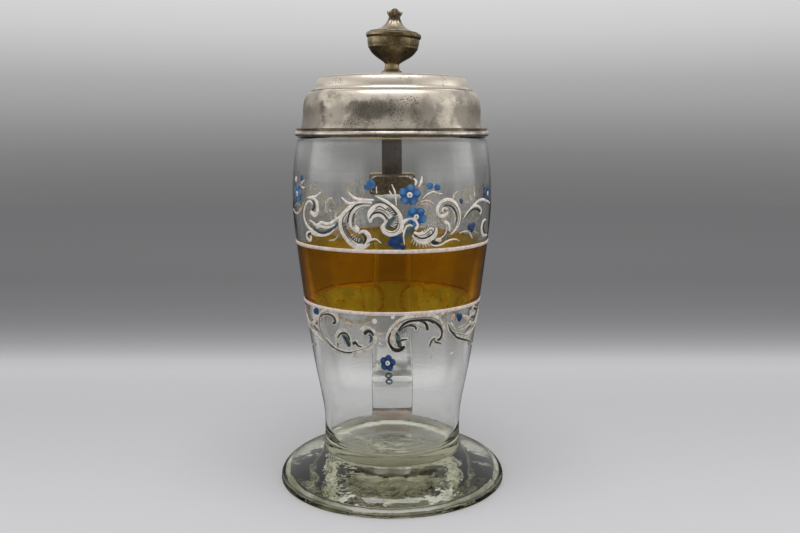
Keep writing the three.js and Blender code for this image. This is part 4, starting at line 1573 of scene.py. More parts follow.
        brush(WHITE, (0.5, 1.7, 0.9), (-21, 166), (-19.5, 164.5), (-17, 162.8), (-13, 162.3),
              (-9, 162.5))
        brush(WHITE, (0.5, 1.5, 0.8), (-24.5, 163.3), (-23, 161.8), (-20.5, 160.5), (-17, 160.8),
              (-12, 161.5))
        brush(WHITE, (0.3, 1.6, 1.8, 1.6, 1.2), (-7.6, 164.4), (-4, 162.5), (-1, 160.3), (2, 157.5),
              (4, 154), (4.8, 150), (4.6, 147))
        brush(DARK, (0.4, 0.7, 0.9, 0.9), (-8, 161.5), (-5, 161.6), (-2, 160.2), (0.5, 157.8),
              (2.3, 155), (2.6, 152), (2, 149.8), (0, 149))
        brush(WHITE, (1.4, 3.0, 3.8, 4.0, 2.6), (-10.3, 152), (-10.3, 155.5), (-8, 158.2), (-5, 158.8),
              (-2, 157), (0.5, 154), (1, 151), lift=0.04)
        brush(DARK, 0.5, (-7.5, 158.2), (-6.7, 159.3), (-5.5, 159.4), (-4, 158.6), (-3, 157.6))
        ticks(DARK, 0.6, 1.6, 9, 70, (-3, 158), (-0.6, 156.2), (1, 153.4), (1.6, 150.8))
        brush(WHITE, (0.8, 1.6, 1.7, 1.2), (-10.2, 151.8), (-9.5, 153.5), (-7.5, 155), (-5.5, 155),
              (-3.5, 153.7), (-2.8, 152), (-3.5, 150.5), (-4.5, 149.7), lift=0.1)
        brush(WHITE, (1.8, 2.6, 2.6, 1.6), (-4.5, 149), (-3.8, 147.2), (-2, 146), (0.5, 145.6),
              (2.5, 146.5), (4, 148.5), (4.2, 151), (4, 154), lift=0.1)
        brush(WASH, (1.6, 4.2, 3.4), (1.4, 154.5), (0.2, 151.8), (-1.2, 150.2), lift=0.2)
        brush(DARK, (0.6, 1.0, 0.6), (-10.5, 153.5), (-9, 155.8), (-6, 156.4), (-3.8, 155.3),
              (-2.4, 153))
        ticks(WHITE, 0.5, 2.0, 8, -80, (2.5, 155.4), (3, 153), (2.3, 150.6), (0.8, 148.9))
        ticks(WHITE, 0.45, 1.4, 5, 85, (-20.4, 144.4), (-18.6, 142.4), (-16, 141.6))
        return art

    def upper_middle(self) -> Artwork:
        """Scrolls right of the middle of the upper frieze."""
        art = Artwork()
        brush, ticks, berry = art.brush, art.ticks, art.berry
        brush(WHITE, (0.5, 0.9, 0.9), (6, 140.5), (5.5, 144), (6, 147.5), (7.5, 149.8), (9.5, 149.7))
        brush(WASH, (1.2, 3.4, 1.8), (7.5, 144.4), (8.1, 146.6), (9.6, 148.4))
        brush(WHITE, (0.9, 1.8, 1.9, 1.2), (4.5, 150), (6.5, 152.3), (9, 153.3), (11, 152.3),
              (12.3, 150), (11.5, 148))
        brush(WHITE, (1.2, 2.6, 3.2, 3.4, 2.8, 1.4), (11, 146), (13, 145), (15, 145.3), (17, 146.8),
              (18.5, 148.4), (20.3, 147.9), (20.9, 146), (20, 143.9), (18, 142.8), (15, 143),
              (12.5, 143.8))
        brush(DARK, (0.7, 1.0, 0.6), (11, 145), (13, 143.5), (15.5, 143.2), (18, 144), (20, 145.5),
              (21, 147.5))
        ticks(DARK, 0.6, 1.1, 8, 75, (15.2, 146.6), (17, 148.2), (19, 149.2), (21, 148))
        brush(WHITE, (0.8, 1.5, 0.9), (10, 144.5), (12, 142), (15, 140.8), (18, 141), (19.5, 142))
        ticks(CREAM, 0.7, 1.5, 8, -70, (9.6, 143), (11.8, 141), (15, 139.9), (19.5, 140.4))
        brush(WASH, (1.4, 2.4, 1.2), (19.6, 141.2), (21.5, 140.6), (23.2, 140.4))
        brush(DARK, (1.3, 2.2, 1.2), (20.2, 141.4), (21.4, 140.8), (22.8, 140.6), lift=0.12)
        brush(WHITE, (1.4, 2.2, 2.2, 1.6), (26.5, 151), (28.5, 149.5), (28.8, 147), (28, 144.5),
              (25.5, 142.3), (22.5, 141.8))
        ticks(DARK, 0.6, 1.2, 8, 60, (28.6, 146.4), (27.4, 143.8), (25, 142.2))
        brush(WHITE, (0.4, 0.9, 0.9, 0.4), (19, 139.8), (22, 139), (25, 139.3), (28, 140.8),
              (31, 141.6), (34, 141.5), (36, 140.5))
        brush(WHITE, (1.4, 2.2, 2.3, 2.0, 1.5, 0.5), (27.5, 155.3), (26, 154), (24, 154.2), (22.7, 156),
              (22.7, 158.5), (24.5, 160.8), (27.5, 161.8), (30.5, 161), (33, 158.8), (34.8, 155.5),
              (35.3, 152), (34.5, 148.5), (32.5, 146), (30.5, 144.5))
        brush(WHITE, (1.0, 1.2, 0.8), (27.5, 157.5), (26, 158.2), (25, 157.5), (24.8, 156.5))
        berry(DARK, (24.5, 155.6, 0.4), (27.0, 155.4, 0.4), (26.2, 156.8, 0.35))
        brush(DARK, (0.6, 0.9, 0.4), (25.5, 158.8), (27.5, 159.3), (30, 158.5), (32, 156.5),
              (33.3, 153.5), (33.3, 151))
        brush(CREAM, (0.5, 0.9, 0.5), (29.5, 158), (31.5, 155.5), (32.3, 152.5), (32, 149.5), lift=0.1)
        brush(CREAM, (0.5, 1.0, 0.6), (33.5, 165.8), (31.8, 164.8), (31, 162.5), (31.5, 160.5))
        brush(CREAM, (0.8, 0.5), (35, 160), (33.8, 162))
        return art

    def upper_flowers(self) -> Artwork:
        """Forget-me-nots and leaves in the middle of the upper frieze."""
        art = Artwork()
        brush, flower, berry = art.brush, art.flower, art.berry
        flower(BLUE, (8.3, 165), 5.1, 12, 1.3)
        flower(BLUE, (11.5, 154.1), 5.1, -20, 1.2)
        berry(NAVY, (1.5, 144.5, 2.4), (3.8, 143, 1.9), (-0.3, 141.3, 1.9), (2, 140, 2.1),
              (5.2, 138.8, 1.3))
        berry(BLUE, (18.2, 169.3, 1.7), (22.2, 168.5, 1.6), (-10, 170.2, 2.1), (-11.8, 168.8, 1.5))
        berry(NAVY, (36, 161, 1.3))
        brush(WHITE, (0.5, 1.4, 0.6), (10.3, 173), (11.5, 171.5), (11, 169.8))
        brush(WHITE, (0.5, 1.3, 0.6), (14.3, 174), (14, 171.5), (12.8, 169))
        brush(WHITE, (0.4, 0.9, 0.5), (2, 160), (1.6, 164.5), (1.2, 167), (0, 170))
        brush(WHITE, (0.5, 1.0), (-1.2, 167), (-0.3, 165))
        brush(WHITE, (0.4, 0.6), (-7.4, 169), (-7.2, 166))
        brush(WHITE, (0.4, 0.7, 0.5), (14.8, 163.2), (17, 165.2), (20, 166.3), (23, 165.4),
              (24.5, 165.2))
        brush(PEACH, (0.5, 1.3, 0.5), (13.5, 161.3), (16, 162), (18.5, 161.3), (20, 160.3))
        brush(PEACH, (0.5, 1.1, 0.5), (14, 160.5), (16.5, 160.3), (18.5, 159.3))
        return art

    def upper_right(self) -> Artwork:
        """Right end of the upper frieze."""
        art = Artwork()
        brush, flower, berry = art.brush, art.flower, art.berry
        brush(WHITE, (0.5, 0.9, 1.5, 1.5, 0.9), (38, 151.5), (40, 154), (43, 156.8), (46, 158.5),
              (49, 160), (52, 160.6), (55, 160.6), (58, 160), (62, 159.2), (66, 158))
        brush(WHITE, (0.6, 1.5, 1.5, 1.6), (40, 154.5), (43, 156.5), (46, 157.7), (49, 157.6),
              (52, 156.3), (53.3, 154.7), (52.3, 153.6))
        brush(DARK, (0.4, 1.3, 1.4), (38, 151.5), (40, 153.5), (43, 155.6), (46, 156.5), (49, 156.2),
              (51.3, 154.9))
        brush(CREAM, (0.4, 1.1, 0.7), (36, 144.5), (39, 145.2), (42, 144.8), (44.5, 143), (46, 141.3))
        brush(WHITE, (1.0, 1.8, 1.9, 1.0), (60, 149.5), (57, 149.3), (55.3, 147.3), (55.5, 144.5),
              (57.5, 142), (60.5, 140.9), (65, 140.8))
        brush(DARK, (0.7, 1.3, 0.6), (58.5, 148), (57, 146.5), (57.8, 144.3), (59.5, 142.8),
              (61, 142.2))
        berry(NAVY, (43.3, 147.3, 1.8), (46, 147.8, 1.8), (45.3, 145.8, 1.6))
        brush(LEAF, (0.6, 1.8, 0.6), (46.5, 144.3), (48.5, 143.6), (50.5, 143.7))
        flower(NAVY, (61, 163.5), 4.6, 15, 1.2)
        brush(CREAM, (0.4, 0.9), (41, 165), (42.5, 163.5), (43, 161.5))
        brush(CREAM, (0.5, 0.9), (46, 167), (46, 163))
        berry(CREAM, (40.5, 160, 0.6))
        return art

    def lower_left(self) -> Artwork:
        """Left scroll of the lower frieze, thin and half clear."""
        art = Artwork()
        brush, ticks, berry = art.brush, art.ticks, art.berry
        brush(CREAM, (1.2, 2.5, 2.1, 2.4, 2.2, 2.7, 1.8), (-32.5, 98), (-33, 101.5), (-36, 103),
              (-40, 103), (-44, 101.8), (-47, 99.5), (-48.8, 96), (-49, 92), (-47.5, 88.5), (-44, 85.3),
              (-40, 83), (-36, 81.8), (-31, 81.3), (-26, 81.5), (-21, 82.8), (-17, 84), (-13.5, 85.5),
              (-11, 88), (-9.8, 91), (-10.3, 93.8), (-12.5, 95.8), (-15.5, 96.3), (-17.3, 95))
        brush(DARK, (1.4, 1.3, 0.9, 0.4), (-35.5, 96.8), (-34.3, 97.5), (-34.3, 99.3), (-35.5, 100.6),
              (-38, 101.2), (-41, 101), (-44, 100.2), (-46, 98.8))
        brush(DARK, (0.4, 0.9, 0.6), (-43, 86.8), (-40.5, 84.8), (-38, 83.2), (-35, 82.2), (-31, 81.6),
              (-27, 81.5), (-24.5, 81.9))
        brush(DARK, (0.6, 1.3, 0.9), (-33.5, 89), (-32, 91), (-30, 92), (-27.5, 92.2), (-26, 91),
              (-25.2, 89))
        brush(WASH, (1.4, 3.6, 2.0), (-29.8, 90.6), (-27, 89), (-26.2, 85.8))
        ticks(DARK, 0.6, 1.6, 8, -80, (-29, 90.5), (-27, 88.6), (-25.8, 85.6))
        brush(CREAM, (0.8, 1.8, 1.2), (-35.5, 84.8), (-35.6, 88), (-34, 91.4), (-31, 93.4),
              (-27.5, 93.6))
        brush(DARK, (2.0, 1.3, 0.6), (-22.7, 87.3), (-21.5, 87.9), (-20.7, 86.6), (-19.5, 85.9),
              (-18, 85.8))
        brush(DARK, (2.2, 1.9, 1.0), (-15.3, 93.5), (-13.5, 94.6), (-11.8, 94.2), (-10.7, 92.5))
        brush(WASH, (1.0, 2.4, 1.0), (-12.8, 92.8), (-11.6, 90.8), (-12.6, 88.6))
        brush(DARK, (1.0, 0.4), (-34, 85.6), (-34.2, 84.2))
        brush(CREAM, (1.4, 0.6), (-22, 83), (-23, 81), (-24, 79.5))
        brush(CREAM, (1.4, 0.6), (-20.5, 83), (-21.5, 81), (-22, 79))
        brush(PEACH, (0.5, 1.6, 0.5), (-26.6, 97.2), (-25, 97.8), (-23.4, 97.4))
        berry(EYE, (-9.7, 100, 1.3), (0.3, 102.3, 1.0), (7.5, 102.3, 0.9))
        brush(PEACH, (0.3, 0.5, 0.3), (-8.5, 93.6), (-6.5, 93.2), (-5, 93.3))
        berry(NAVY, (-50, 101.5, 2.0), (-52.6, 100.6, 1.5))
        return art

    def lower_right(self) -> Artwork:
        """Right scroll of the lower frieze."""
        art = Artwork()
        brush, ticks, flower, berry = art.brush, art.ticks, art.flower, art.berry
        brush(CREAM, (1.5, 2.7, 2.8, 2.5, 1.5), (31, 90), (31, 94), (28.5, 98), (25, 100.8), (20, 102),
              (14, 102.2), (8, 101.7), (4, 100), (0.5, 97), (-2, 93.5), (-3, 90), (-2, 86.5))
        brush(CREAM, (1.8, 3.8, 2.7), (2, 96), (0.8, 92), (0.5, 88.5))
        brush(CREAM, (0.9, 2.4, 1.2), (6, 96.2), (9.5, 98.8), (14, 98.6), (17, 97))
        brush(DARK, (1.0, 1.6, 1.3, 1.3, 1.4, 1.0), (29.9, 90), (29.7, 93), (28.2, 95.5), (26, 97.5),
              (23.5, 99), (21, 99.9), (17, 100.3), (13, 100.3), (9.5, 100), (7, 99), (5, 97.3),
              (3.5, 95.3))
        brush(DARK, (1.7, 1.3), (29.6, 90), (28.8, 88.9), (27.5, 88.6))
        brush(DARK, (0.6, 1.2, 0.7), (25.3, 89.5), (24, 89.2), (22.8, 87.5), (22.3, 85.5))
        brush(DARK, (0.6, 1.0, 0.6), (25.2, 88.8), (26, 87.3), (28, 86.9), (29.7, 86.3))
        brush(DARK, (0.7, 1.4, 1.9), (14, 100.1), (17, 99.5), (19, 98), (19.9, 96), (20.1, 95.3))
        brush(DARK, (1.4, 0.7), (20, 100), (22, 99), (23.3, 98))
        brush(DARK, (1.2, 0.9, 0.6), (13.3, 95.8), (13, 96.8), (11.5, 97.4), (9, 97.7), (7, 97.2),
              (5, 95.8), (4, 94.2))
        brush(DARK, (0.9, 1.2, 2.2, 1.9), (-1, 93.7), (-1.8, 91.5), (-1.9, 89), (-1, 87), (0.5, 85.2),
              (2.5, 84.4), (4.8, 84.7), (6.5, 86))
        brush(WASH, (1.4, 3.8, 2.0), (2.6, 93.5), (3.4, 89.6), (4.6, 86.4))
        brush(DARK, (1.3, 0.9), (3.3, 89), (3.5, 87), (4.5, 86.2), (6, 86.3))
        brush(DARK, (0.6, 1.2, 0.6), (8.3, 90.2), (6.5, 90.1), (4.8, 89.7), (3.7, 88.5))
        ticks(WASH, 0.5, 2.4, 6, 70, (3.2, 91.5), (5, 93.4), (8, 94.6))
        berry(CREAM, (6.4, 88, 1.1))
        flower(NAVY, (-2.7, 77.3), 4.5, 8, 1.3)
        for x, z in ((-2.2, 70.4), (-1.9, 66.9)):
            brush(WASH, 1.1, (x - 1.8, z), (x - 1.0, z + 1.1), (x + 1.0, z + 1.1), (x + 1.8, z),
                  (x + 1.0, z - 1.1), (x - 1.0, z - 1.1), (x - 1.7, z - 0.3))
            brush(DARK, (0.2, 0.5, 0.2), (x - 1.5, z + 0.9), (x, z + 1.5), (x + 1.5, z + 0.9))
        brush(DARK, (0.6, 1.2, 1.0, 0.6), (34, 96), (36, 92.5), (39, 90.3), (42, 88), (46, 86.5),
              (50, 85.3), (54, 84.3), (58, 83), (60, 82))
        brush(CREAM, (0.9, 2.4, 2.2, 1.2), (33, 97.5), (35, 94), (38, 91), (42, 89.5), (48, 87.8),
              (55, 86.3), (60, 85))
        brush(CREAM, (1.2, 2.4, 1.5), (36, 96.5), (41, 93), (47, 92.2), (52, 94), (57, 97.5), (62, 99))
        brush(PEACH, (0.5, 0.6, 0.4), (28.5, 96.9), (31.5, 96.6))
        berry(NAVY, (43, 98.7, 2.1), (41.2, 100, 1.4))
        berry(PEACH, (37, 99.8, 1.6))
        berry(EYE, (29, 103, 1.1))
        brush(DARK, (0.7, 1.4, 0.7), (56.5, 96.6), (59.5, 96.2), (62, 97))
        brush(DARK, (0.9, 1.6, 0.7), (58, 101.6), (61, 100.6), (64, 100))
        brush(CREAM, (1.4, 0.6), (24.5, 82.5), (24, 80.5), (24.3, 78.6))
        brush(CREAM, (1.2, 0.6), (41, 79.5), (38.8, 79), (37.8, 78))
        return art

    def compose(self) -> Artwork:
        """Whole painting: the front, and its motifs again on the back halves."""
        upper = (self.upper_shell(), self.upper_middle())
        lower = (self.lower_left(), self.lower_right())
        whole = Artwork()
        unseen = (DARK, NAVY, WASH)
        for parts, shift, mirrored in ((upper, self.back + self.upper_back, False),
                                       (lower, self.back, True)):
            for part in parts:
                whole.add(part, shift, mirrored, unseen)
                whole.add(part, -shift, not mirrored, unseen)
        root = math.pi * self.unrolled_radius
        # Golden-brown patch laid on the glass at the back, under the handle's upper root.
        whole.brush(GOLD, (9.6, 11.0, 11.2, 10.8, 9.8), (root - 9, 160.3), (root, 160.6),
                    (root + 9, 160.4))
        for part in lower:
            part.contour(CREAM, 1.9, self.contour_width)
            part.underlay(DARK, CREAM, 0.7, 1.3)
        for part in upper:
            part.broaden(WHITE, 1.12)
            part.contour(WHITE, 2.3, self.contour_width)
        for part in (self.upper_left(), *upper, self.upper_flowers(), self.upper_right(), *lower):
            whole.add(part)
        return whole

    def build(self, finishes: dict[Paint, bpy.types.Material],
              line_finish: bpy.types.Material) -> None:
        """Makes one piece for each paint, and the two lines.

        Args:
            finishes: Material of each paint.
            line_finish: Material of the lines.
        """
        strokes, blossoms = StrokeTree(), BlossomTree()
        self.lines(strokes, line_finish)
        whole = self.compose()
        for paint in Paint:
            lines = [s for s in whole.strokes if s.paint is paint]
            flowers = [b for b in whole.blossoms if b.paint is paint]
            parts = []
            if lines:
                parts.append(grow(paint.value, strokes.guide("guide", lines), strokes.tree, {
                    "Thickness": self.thickness * MM, "Finish": finishes[paint]}))
            for petals, ring, size in ((1, 0.0, 1.0), (5, self.petal_ring, self.petal_size)):
                some = [b for b in flowers if b.petals == petals]
                if some:
                    parts.append(grow(paint.value, blossoms.guide("guide", some), blossoms.tree, {
                        "Petals": petals, "Ring": ring, "Petal": size, "Seed": self.seed,
                        "Thickness": self.dab * MM, "Finish": finishes[paint]}))
            piece = joined(paint.value, parts)
            self.wrap(piece.data)
            outward(piece.data, self.round_off)
            seat(piece, "tankard", "white_enamel")


def joined(name: str, parts: Sequence[bpy.types.Object]) -> bpy.types.Object:
    """One object of the meshes of several, which all have the same material."""
    shape = bmesh.new()
    for part in parts:
        shape.from_mesh(part.data)
    finish = parts[0].data.materials[0]
    for part in parts:
        bpy.data.objects.remove(part)
    mesh = bpy.data.meshes.new(name)
    shape.to_mesh(mesh)
    shape.free()
    one_finish(mesh, finish)
    return placed(name, mesh)


# Pewter


@dataclass
class PewterLid:
    """Hollow cast lid with a stepped crown and a beaded flange.

    Attributes:
        lathe: Tree that turns its outline.
        bottom: Height of its underside, level with the rim of the vessel.
        seat_inner: Radius of the hollow inside.
        flange_radius: Outer radius of the flange.
        bead_radius: Half thickness of the bead round it.
        flange_top: Height of the flange's top.
        dome_foot: Radius of the dome above the flange.
        dome_wall: Radius of the dome's upright wall.
        dome_waist: Height at which the dome starts to turn in.
        dome_shoulder: Height of the point that pulls it in.
        dome_top: Height of the dome's top.
        ledge: Radius at which the ledge round the crown starts.
        crown_foot: Radius of the crown above the ledge.
        crown_shoulder: Height of the point that pulls the crown in.
        crown_radius: Radius of the crown's flat top.
        crown_edge: Height at which its curve ends.
        crown_top: Height of the top.
        crown_hollow: Radius of the flat middle of the top.
        wall: Thickness of the casting.
    """

    lathe: Lathe
    bottom: float = 193.2
    seat_inner: float = 46.3
    flange_radius: float = 53.0
    bead_radius: float = 1.55
    flange_top: float = 197.6
    dome_foot: float = 49.6
    dome_wall: float = 48.4
    dome_waist: float = 207.0
    dome_shoulder: float = 211.4
    dome_top: float = 216.7
    ledge: float = 44.1
    crown_foot: float = 41.4
    crown_shoulder: float = 222.6
    crown_radius: float = 36.9
    crown_edge: float = 224.75
    crown_top: float = 225.0
    crown_hollow: float = 9.5
    wall: float = 2.3

    def flange(self) -> Outline:
        """Outline of the beaded flange and the groove above it."""
        bead = (self.flange_radius - self.bead_radius, self.bottom + self.bead_radius)
        path = Outline(self.seat_inner, self.bottom).line((bead[0] - 1, self.bottom))
        path.arc(bead, self.bead_radius, -90, 75, 9)
        edge, top = self.flange_radius, self.flange_top
        foot = self.dome_foot
        return path.rounded(
            (edge - 1.75, self.bottom + 3.25, 0.25), (edge - 1.75, self.bottom + 3.6, 0.15),
            (edge - 0.75, self.bottom + 3.75, 0.3), (edge - 0.75, top, 0.35),
            (foot + 1.5, top, 0.3), (foot + 1.0, top - 0.45, 0.3), (foot + 0.1, top - 0.35, 0.3),
            (foot, top + 0.7, 0), steps=3)

    def outline(self) -> Outline:
        """Outline of the lid, closed on itself."""
        path = self.flange()
        wall, ledge, top = self.dome_wall, self.ledge, self.dome_top
        path.bend((self.dome_foot - 0.6, self.flange_top + 3), (wall, self.dome_waist - 4),
                  (wall, self.dome_waist), 8)
        path.bend((wall - 0.1, self.dome_shoulder), (ledge + 2.8, top - 0.2), (ledge, top), 14)
        path.rounded((ledge - 0.05, top + 0.95, 0.25), (ledge - 0.9, top + 1.0, 0.2),
                     (ledge - 1.1, top + 0.75, 0.15), (ledge - 1.5, top + 1.0, 0.2),
                     (self.crown_foot, top + 2.0, 0), steps=3)
        crown, top = self.crown_radius, self.crown_top
        path.bend((self.crown_foot, self.crown_shoulder), (crown + 3.2, self.crown_edge - 0.45),
                  (crown + 0.7, self.crown_edge), 12)
        path.rounded((crown, top, 0.4), (crown - 0.9, top, 0.3), (crown - 1.3, top - 0.35, 0.25),
                     (crown - 6, top - 0.3, 1.0), (self.crown_hollow, top - 0.05, 1.0),
                     (0, top - 0.02, 0), steps=4)
        inner, under = self.crown_foot - self.wall, self.dome_top - self.wall
        top -= self.wall
        path.line((0, top), (crown - self.wall - 2, top))
        path.bend((inner, top), (inner, top - 2), (inner, under + 1.8), 8)
        path.bend((self.seat_inner, under), (self.seat_inner, under - 3),
                  (self.seat_inner, under - 9), 8)
        return path.line((self.seat_inner, self.bottom))

    def build(self, pewter: bpy.types.Material) -> None:
        """Makes the lid."""
        lid = self.lathe.turn("lid_casting", self.outline(), pewter, 176, 50)
        seat(lid, "lid", "pewter", "lid_shell")


@dataclass
class Thumbpiece:
    """Urn on its stem with a cover and a leafy bud, leaning to the right.

    Attributes:
        lathe: Tree that turns its pieces.
        axis_y: Distance of its axis behind the vessel's.
        plinth_top: Height of the lid arm's pedestal, on which it stands.
        foot_radius: Radius of its foot.
        foot_thickness: Thickness of the foot.
        stem_radius: Radius of the stem.
        stem_height: Height of foot and stem.
        bowl_radius: Radius of the bowl.
        bowl_height: Height of foot, stem and bowl.
        rim_radius: Radius of the rim.
        rim_thickness: Height of the rim.
        ridge: Height and half width of the bead round the bowl, and its place below the rim.
        lean: Angle in degrees by which it leans to the right.
        flutes: Number of flutes round urn and cover.
        urn_flute: Depth of the flutes at the foot of the bowl.
        cover_flute: Depth of the flutes on the cover.
        cover_bends: Side of the cover from its brow to the bud's tip: two pulls and the end
            of each curve, by radius and height above the rim, and its steps.
        leaves: Number of leaves round the bud.
        leaf: Radius and height above the rim of points along a leaf, with its half width and
            half thickness there.
        leaf_section: Corners of its section, in shares of these.
    """

    lathe: Lathe
    axis_y: float = 61.0
    plinth_top: float = 231.2
    foot_radius: float = 6.2
    foot_thickness: float = 1.0
    stem_radius: float = 4.3
    stem_height: float = 5.2
    bowl_radius: float = 16.1
    bowl_height: float = 20.6
    rim_radius: float = 16.8
    rim_thickness: float = 3.0
    ridge: Triple = (0.28, 0.55, 6.0)
    lean: float = 3.0
    flutes: int = 14
    urn_flute: float = 0.72
    cover_flute: float = 0.5
    cover_bends: tuple[tuple[Point, Point, Point, int], ...] = (
        ((7.6, 2.6), (5.2, 4.8), (3.7, 8.4), 14), ((3.3, 9.5), (3.0, 10.2), (3.1, 11.2), 5),
        ((3.1, 12.2), (2.7, 12.9), (2.2, 13.3), 5), ((1.9, 14.0), (1.1, 14.6), (0, 14.65), 6))
    leaves: int = 6
    leaf: tuple[tuple[float, float, float, float], ...] = (
        (1.6, 9.6, 1.7, 1.2), (2.6, 10.5, 2.2, 1.2), (3.5, 11.2, 2.2, 1.1), (4.2, 11.9, 1.9, 0.9),
        (4.7, 12.4, 1.1, 0.5))
    leaf_section: tuple[Point, ...] = ((-1, -1), (1, -1), (1, 0.2), (0, 1), (-1, 0.2))

    @property
    def rim(self) -> float:
        """Height of the urn's rim."""
        return self.plinth_top + self.bowl_height + self.rim_thickness

    def lean_over(self, mesh: bpy.types.Mesh) -> None:
        """Bends a turned piece to the right above the foot of the stem and moves it to its axis."""
        points = coordinates(mesh)
        start = (self.plinth_top + self.foot_thickness) * MM
        share = np.clip((points[:, 2] - start) / (self.stem_height * MM), 0, 1)
        angle = math.radians(self.lean) * share ** 2 * (3 - 2 * share)
        x, z = points[:, 0].copy(), points[:, 2] - start
        points[:, 0] = x * np.cos(angle) + z * np.sin(angle)
        points[:, 2] = z * np.cos(angle) - x * np.sin(angle) + start
        points[:, 1] += self.axis_y * MM
        reshape(mesh, points)

    def flute(self, mesh: bpy.types.Mesh, low: float, high: float, depth: float) -> None:
        """Cuts upright flutes between two heights of a turned piece."""
        points = coordinates(mesh)
        height = points[:, 2] / MM
        share = np.clip((height - low) / (high - low), 0, 1)
        swell = np.sin(np.pi * share) ** 1.5
        angle = np.arctan2(points[:, 1], points[:, 0])
        radius = np.hypot(points[:, 0], points[:, 1])
        cut = depth * MM * swell * (0.5 - 0.5 * np.cos(self.flutes * angle)) * (radius > 2 * MM)
        factor = np.where(radius > 0, (radius - cut) / np.maximum(radius, 1e-9), 1)
        points[:, :2] *= factor[:, None]
        reshape(mesh, points)

    def urn_outline(self) -> Outline:
        """Foot, stem and bowl, from the middle of the foot to the middle of the rim."""
        base, stem = self.plinth_top, self.plinth_top + self.stem_height
        bowl, top = base + self.bowl_height, self.rim
        foot, waist, belly, edge = (self.foot_radius, self.stem_radius, self.bowl_radius,
                                    self.rim_radius)
        path = Outline(0, base).rounded((foot, base, 0.2), (foot, base + 0.9, 0.35),
                                        (foot - 0.5, base + 1.05, 0), steps=3)
        path.bend((waist + 0.5, base + 1.4), (waist, base + 2.6), (waist, stem), 8)
        path.bend((waist + 3, stem + 3.4), (belly, stem + 4.6), (belly - 0.3, bowl - 0.4), 44)
        raised, half, below = self.ridge
        for i, (radius, height) in enumerate(path.points):
            if height > stem:
                ridge = raised * math.exp(-((height - bowl + below) / half) ** 2)
                path.points[i] = (radius + ridge, height)
        return path.rounded(
            (belly - 0.2, bowl - 0.3, 0.1), (edge - 0.15, bowl + 0.45, 0.3), (edge, bowl + 0.9, 0.3),
            (edge, top - 0.7, 0.5), (edge - 0.7, top, 0.4), (edge - 1.6, top, 0.3),
            (edge - 2.0, top - 0.4, 0.2), (0, top - 0.4, 0), steps=4)

    def cover_outline(self) -> Outline:
        """Cover with its neck and the knob inside the leaves."""
        rim, belly = self.rim, self.bowl_radius
        path = Outline(0, rim + 0.3).rounded(
            (belly - 1.2, rim + 0.3, 0.2), (belly - 1.3, rim + 0.75, 0.3),
            (belly - 4.4, rim + 1.4, 0.8), (belly - 5.7, rim + 1.9, 0), steps=3)
        for *pulls, steps in self.cover_bends:
            path.bend(*((radius, rim + height) for radius, height in pulls), steps)
        return path

    def leaf_mesh(self) -> bpy.types.Mesh:
        """One pointed leaf, bent outwards."""
        points, faces = [], []
        corners, rings = len(self.leaf_section), len(self.leaf)
        for radius, height, width, depth in self.leaf:
            for side, up in self.leaf_section:
                points.append((radius * MM, side * width * MM,
                               (self.rim + height + up * depth) * MM))
        for first in range(0, corners * (rings - 1), corners):
            for j in range(corners):
                k = (j + 1) % corners
                faces.append((first + j, first + k, first + corners + k, first + corners + j))
        faces.append(tuple(range(corners - 1, -1, -1)))
        faces.append(tuple(range(corners * (rings - 1), corners * rings)))
        mesh = bpy.data.meshes.new("leaf_guide")
        mesh.from_pydata(points, [], faces)
        return mesh

    def leaf_ring(self, finish: bpy.types.Material) -> bpy.types.Object:
        """Ring of leaves round the bud, set by a geometry tree."""
        growth = Growth("leaf_ring", {"Leaves": ("NodeSocketInt", self.leaves)})
        middle = growth.node("GeometryNodePoints", {"Count": growth.given("Leaves")})
        angle = growth.number() * (2 * math.pi) / growth.given("Leaves")
        leaves = growth.node("GeometryNodeInstanceOnPoints", {
            "Points": middle, "Instance": growth.given("Guide"),
            "Rotation": growth.vector(0.0, 0.0, angle)})
        made = grow("bud_leaves", self.leaf_mesh(), growth.end(leaves), {
            "Leaves": self.leaves, "Finish": finish})
        outward(made.data, 50)
        return made

    def build(self, dark: bpy.types.Material, light: bpy.types.Material) -> None:
        """Makes the urn, its cover and the leaves of the bud.

        Args:
            dark: Finish of the urn and the leaves.
            light: Finish of the cover.
        """
        sharp = 45
        stem = self.plinth_top + self.stem_height
        urn = self.lathe.turn("urn", self.urn_outline(), dark, 112, sharp)
        self.flute(urn.data, stem - 0.8, stem + 5.4, self.urn_flute)
        cover = self.lathe.turn("urn_cover", self.cover_outline(), light, 84, sharp)
        self.flute(cover.data, self.rim + 4.0, self.rim + 10.2, self.cover_flute)
        for piece in (urn, cover):
            outward(piece.data, sharp)
        leaves = self.leaf_ring(dark)
        for piece in (urn, cover, leaves):
            self.lean_over(piece.data)
        seat(urn, "lid", "dark_pewter", "thumbpiece_urn")
        seat(cover, "lid", "pewter", "thumbpiece_cover")
        seat(leaves, "lid", "dark_pewter")


@dataclass
class HingeMount:
    """Collar, shank, pin and lid arm, with the edges of worn castings.

    Attributes:
        collar_edge: Round on the collar's edges.
        edge: Round on the edges of the other three.
    """

    collar_edge: float = 0.45
    edge: float = 0.27

    def build(self, golden: bpy.types.Material, dark: bpy.types.Material,
              light: bpy.types.Material, steel: bpy.types.Material) -> None:
        """Makes the four pieces from the CAD nodes they stand for.

        Args:
            golden: Finish of the collar.
            dark: Finish of the shank.
            light: Finish of the lid arm.
            steel: Finish of the pin.
        """
        collar = softened("handle_collar", "collar_band", golden, self.collar_edge)
        seat(collar, "tankard", "dark_pewter", "handle_collar")
        shank = softened("hinge_shank", "shank", dark, self.edge)
        seat(shank, "tankard", "dark_pewter", "hinge_shank")
        pin = softened("hinge_pin", "peened_pin", steel, self.edge)
        seat(pin, "tankard", "steel", "hinge_pin")
        arm = softened("lid_arm", "lid_arm_casting", light, self.edge)
        seat(arm, "lid", "pewter", "lid_arm")


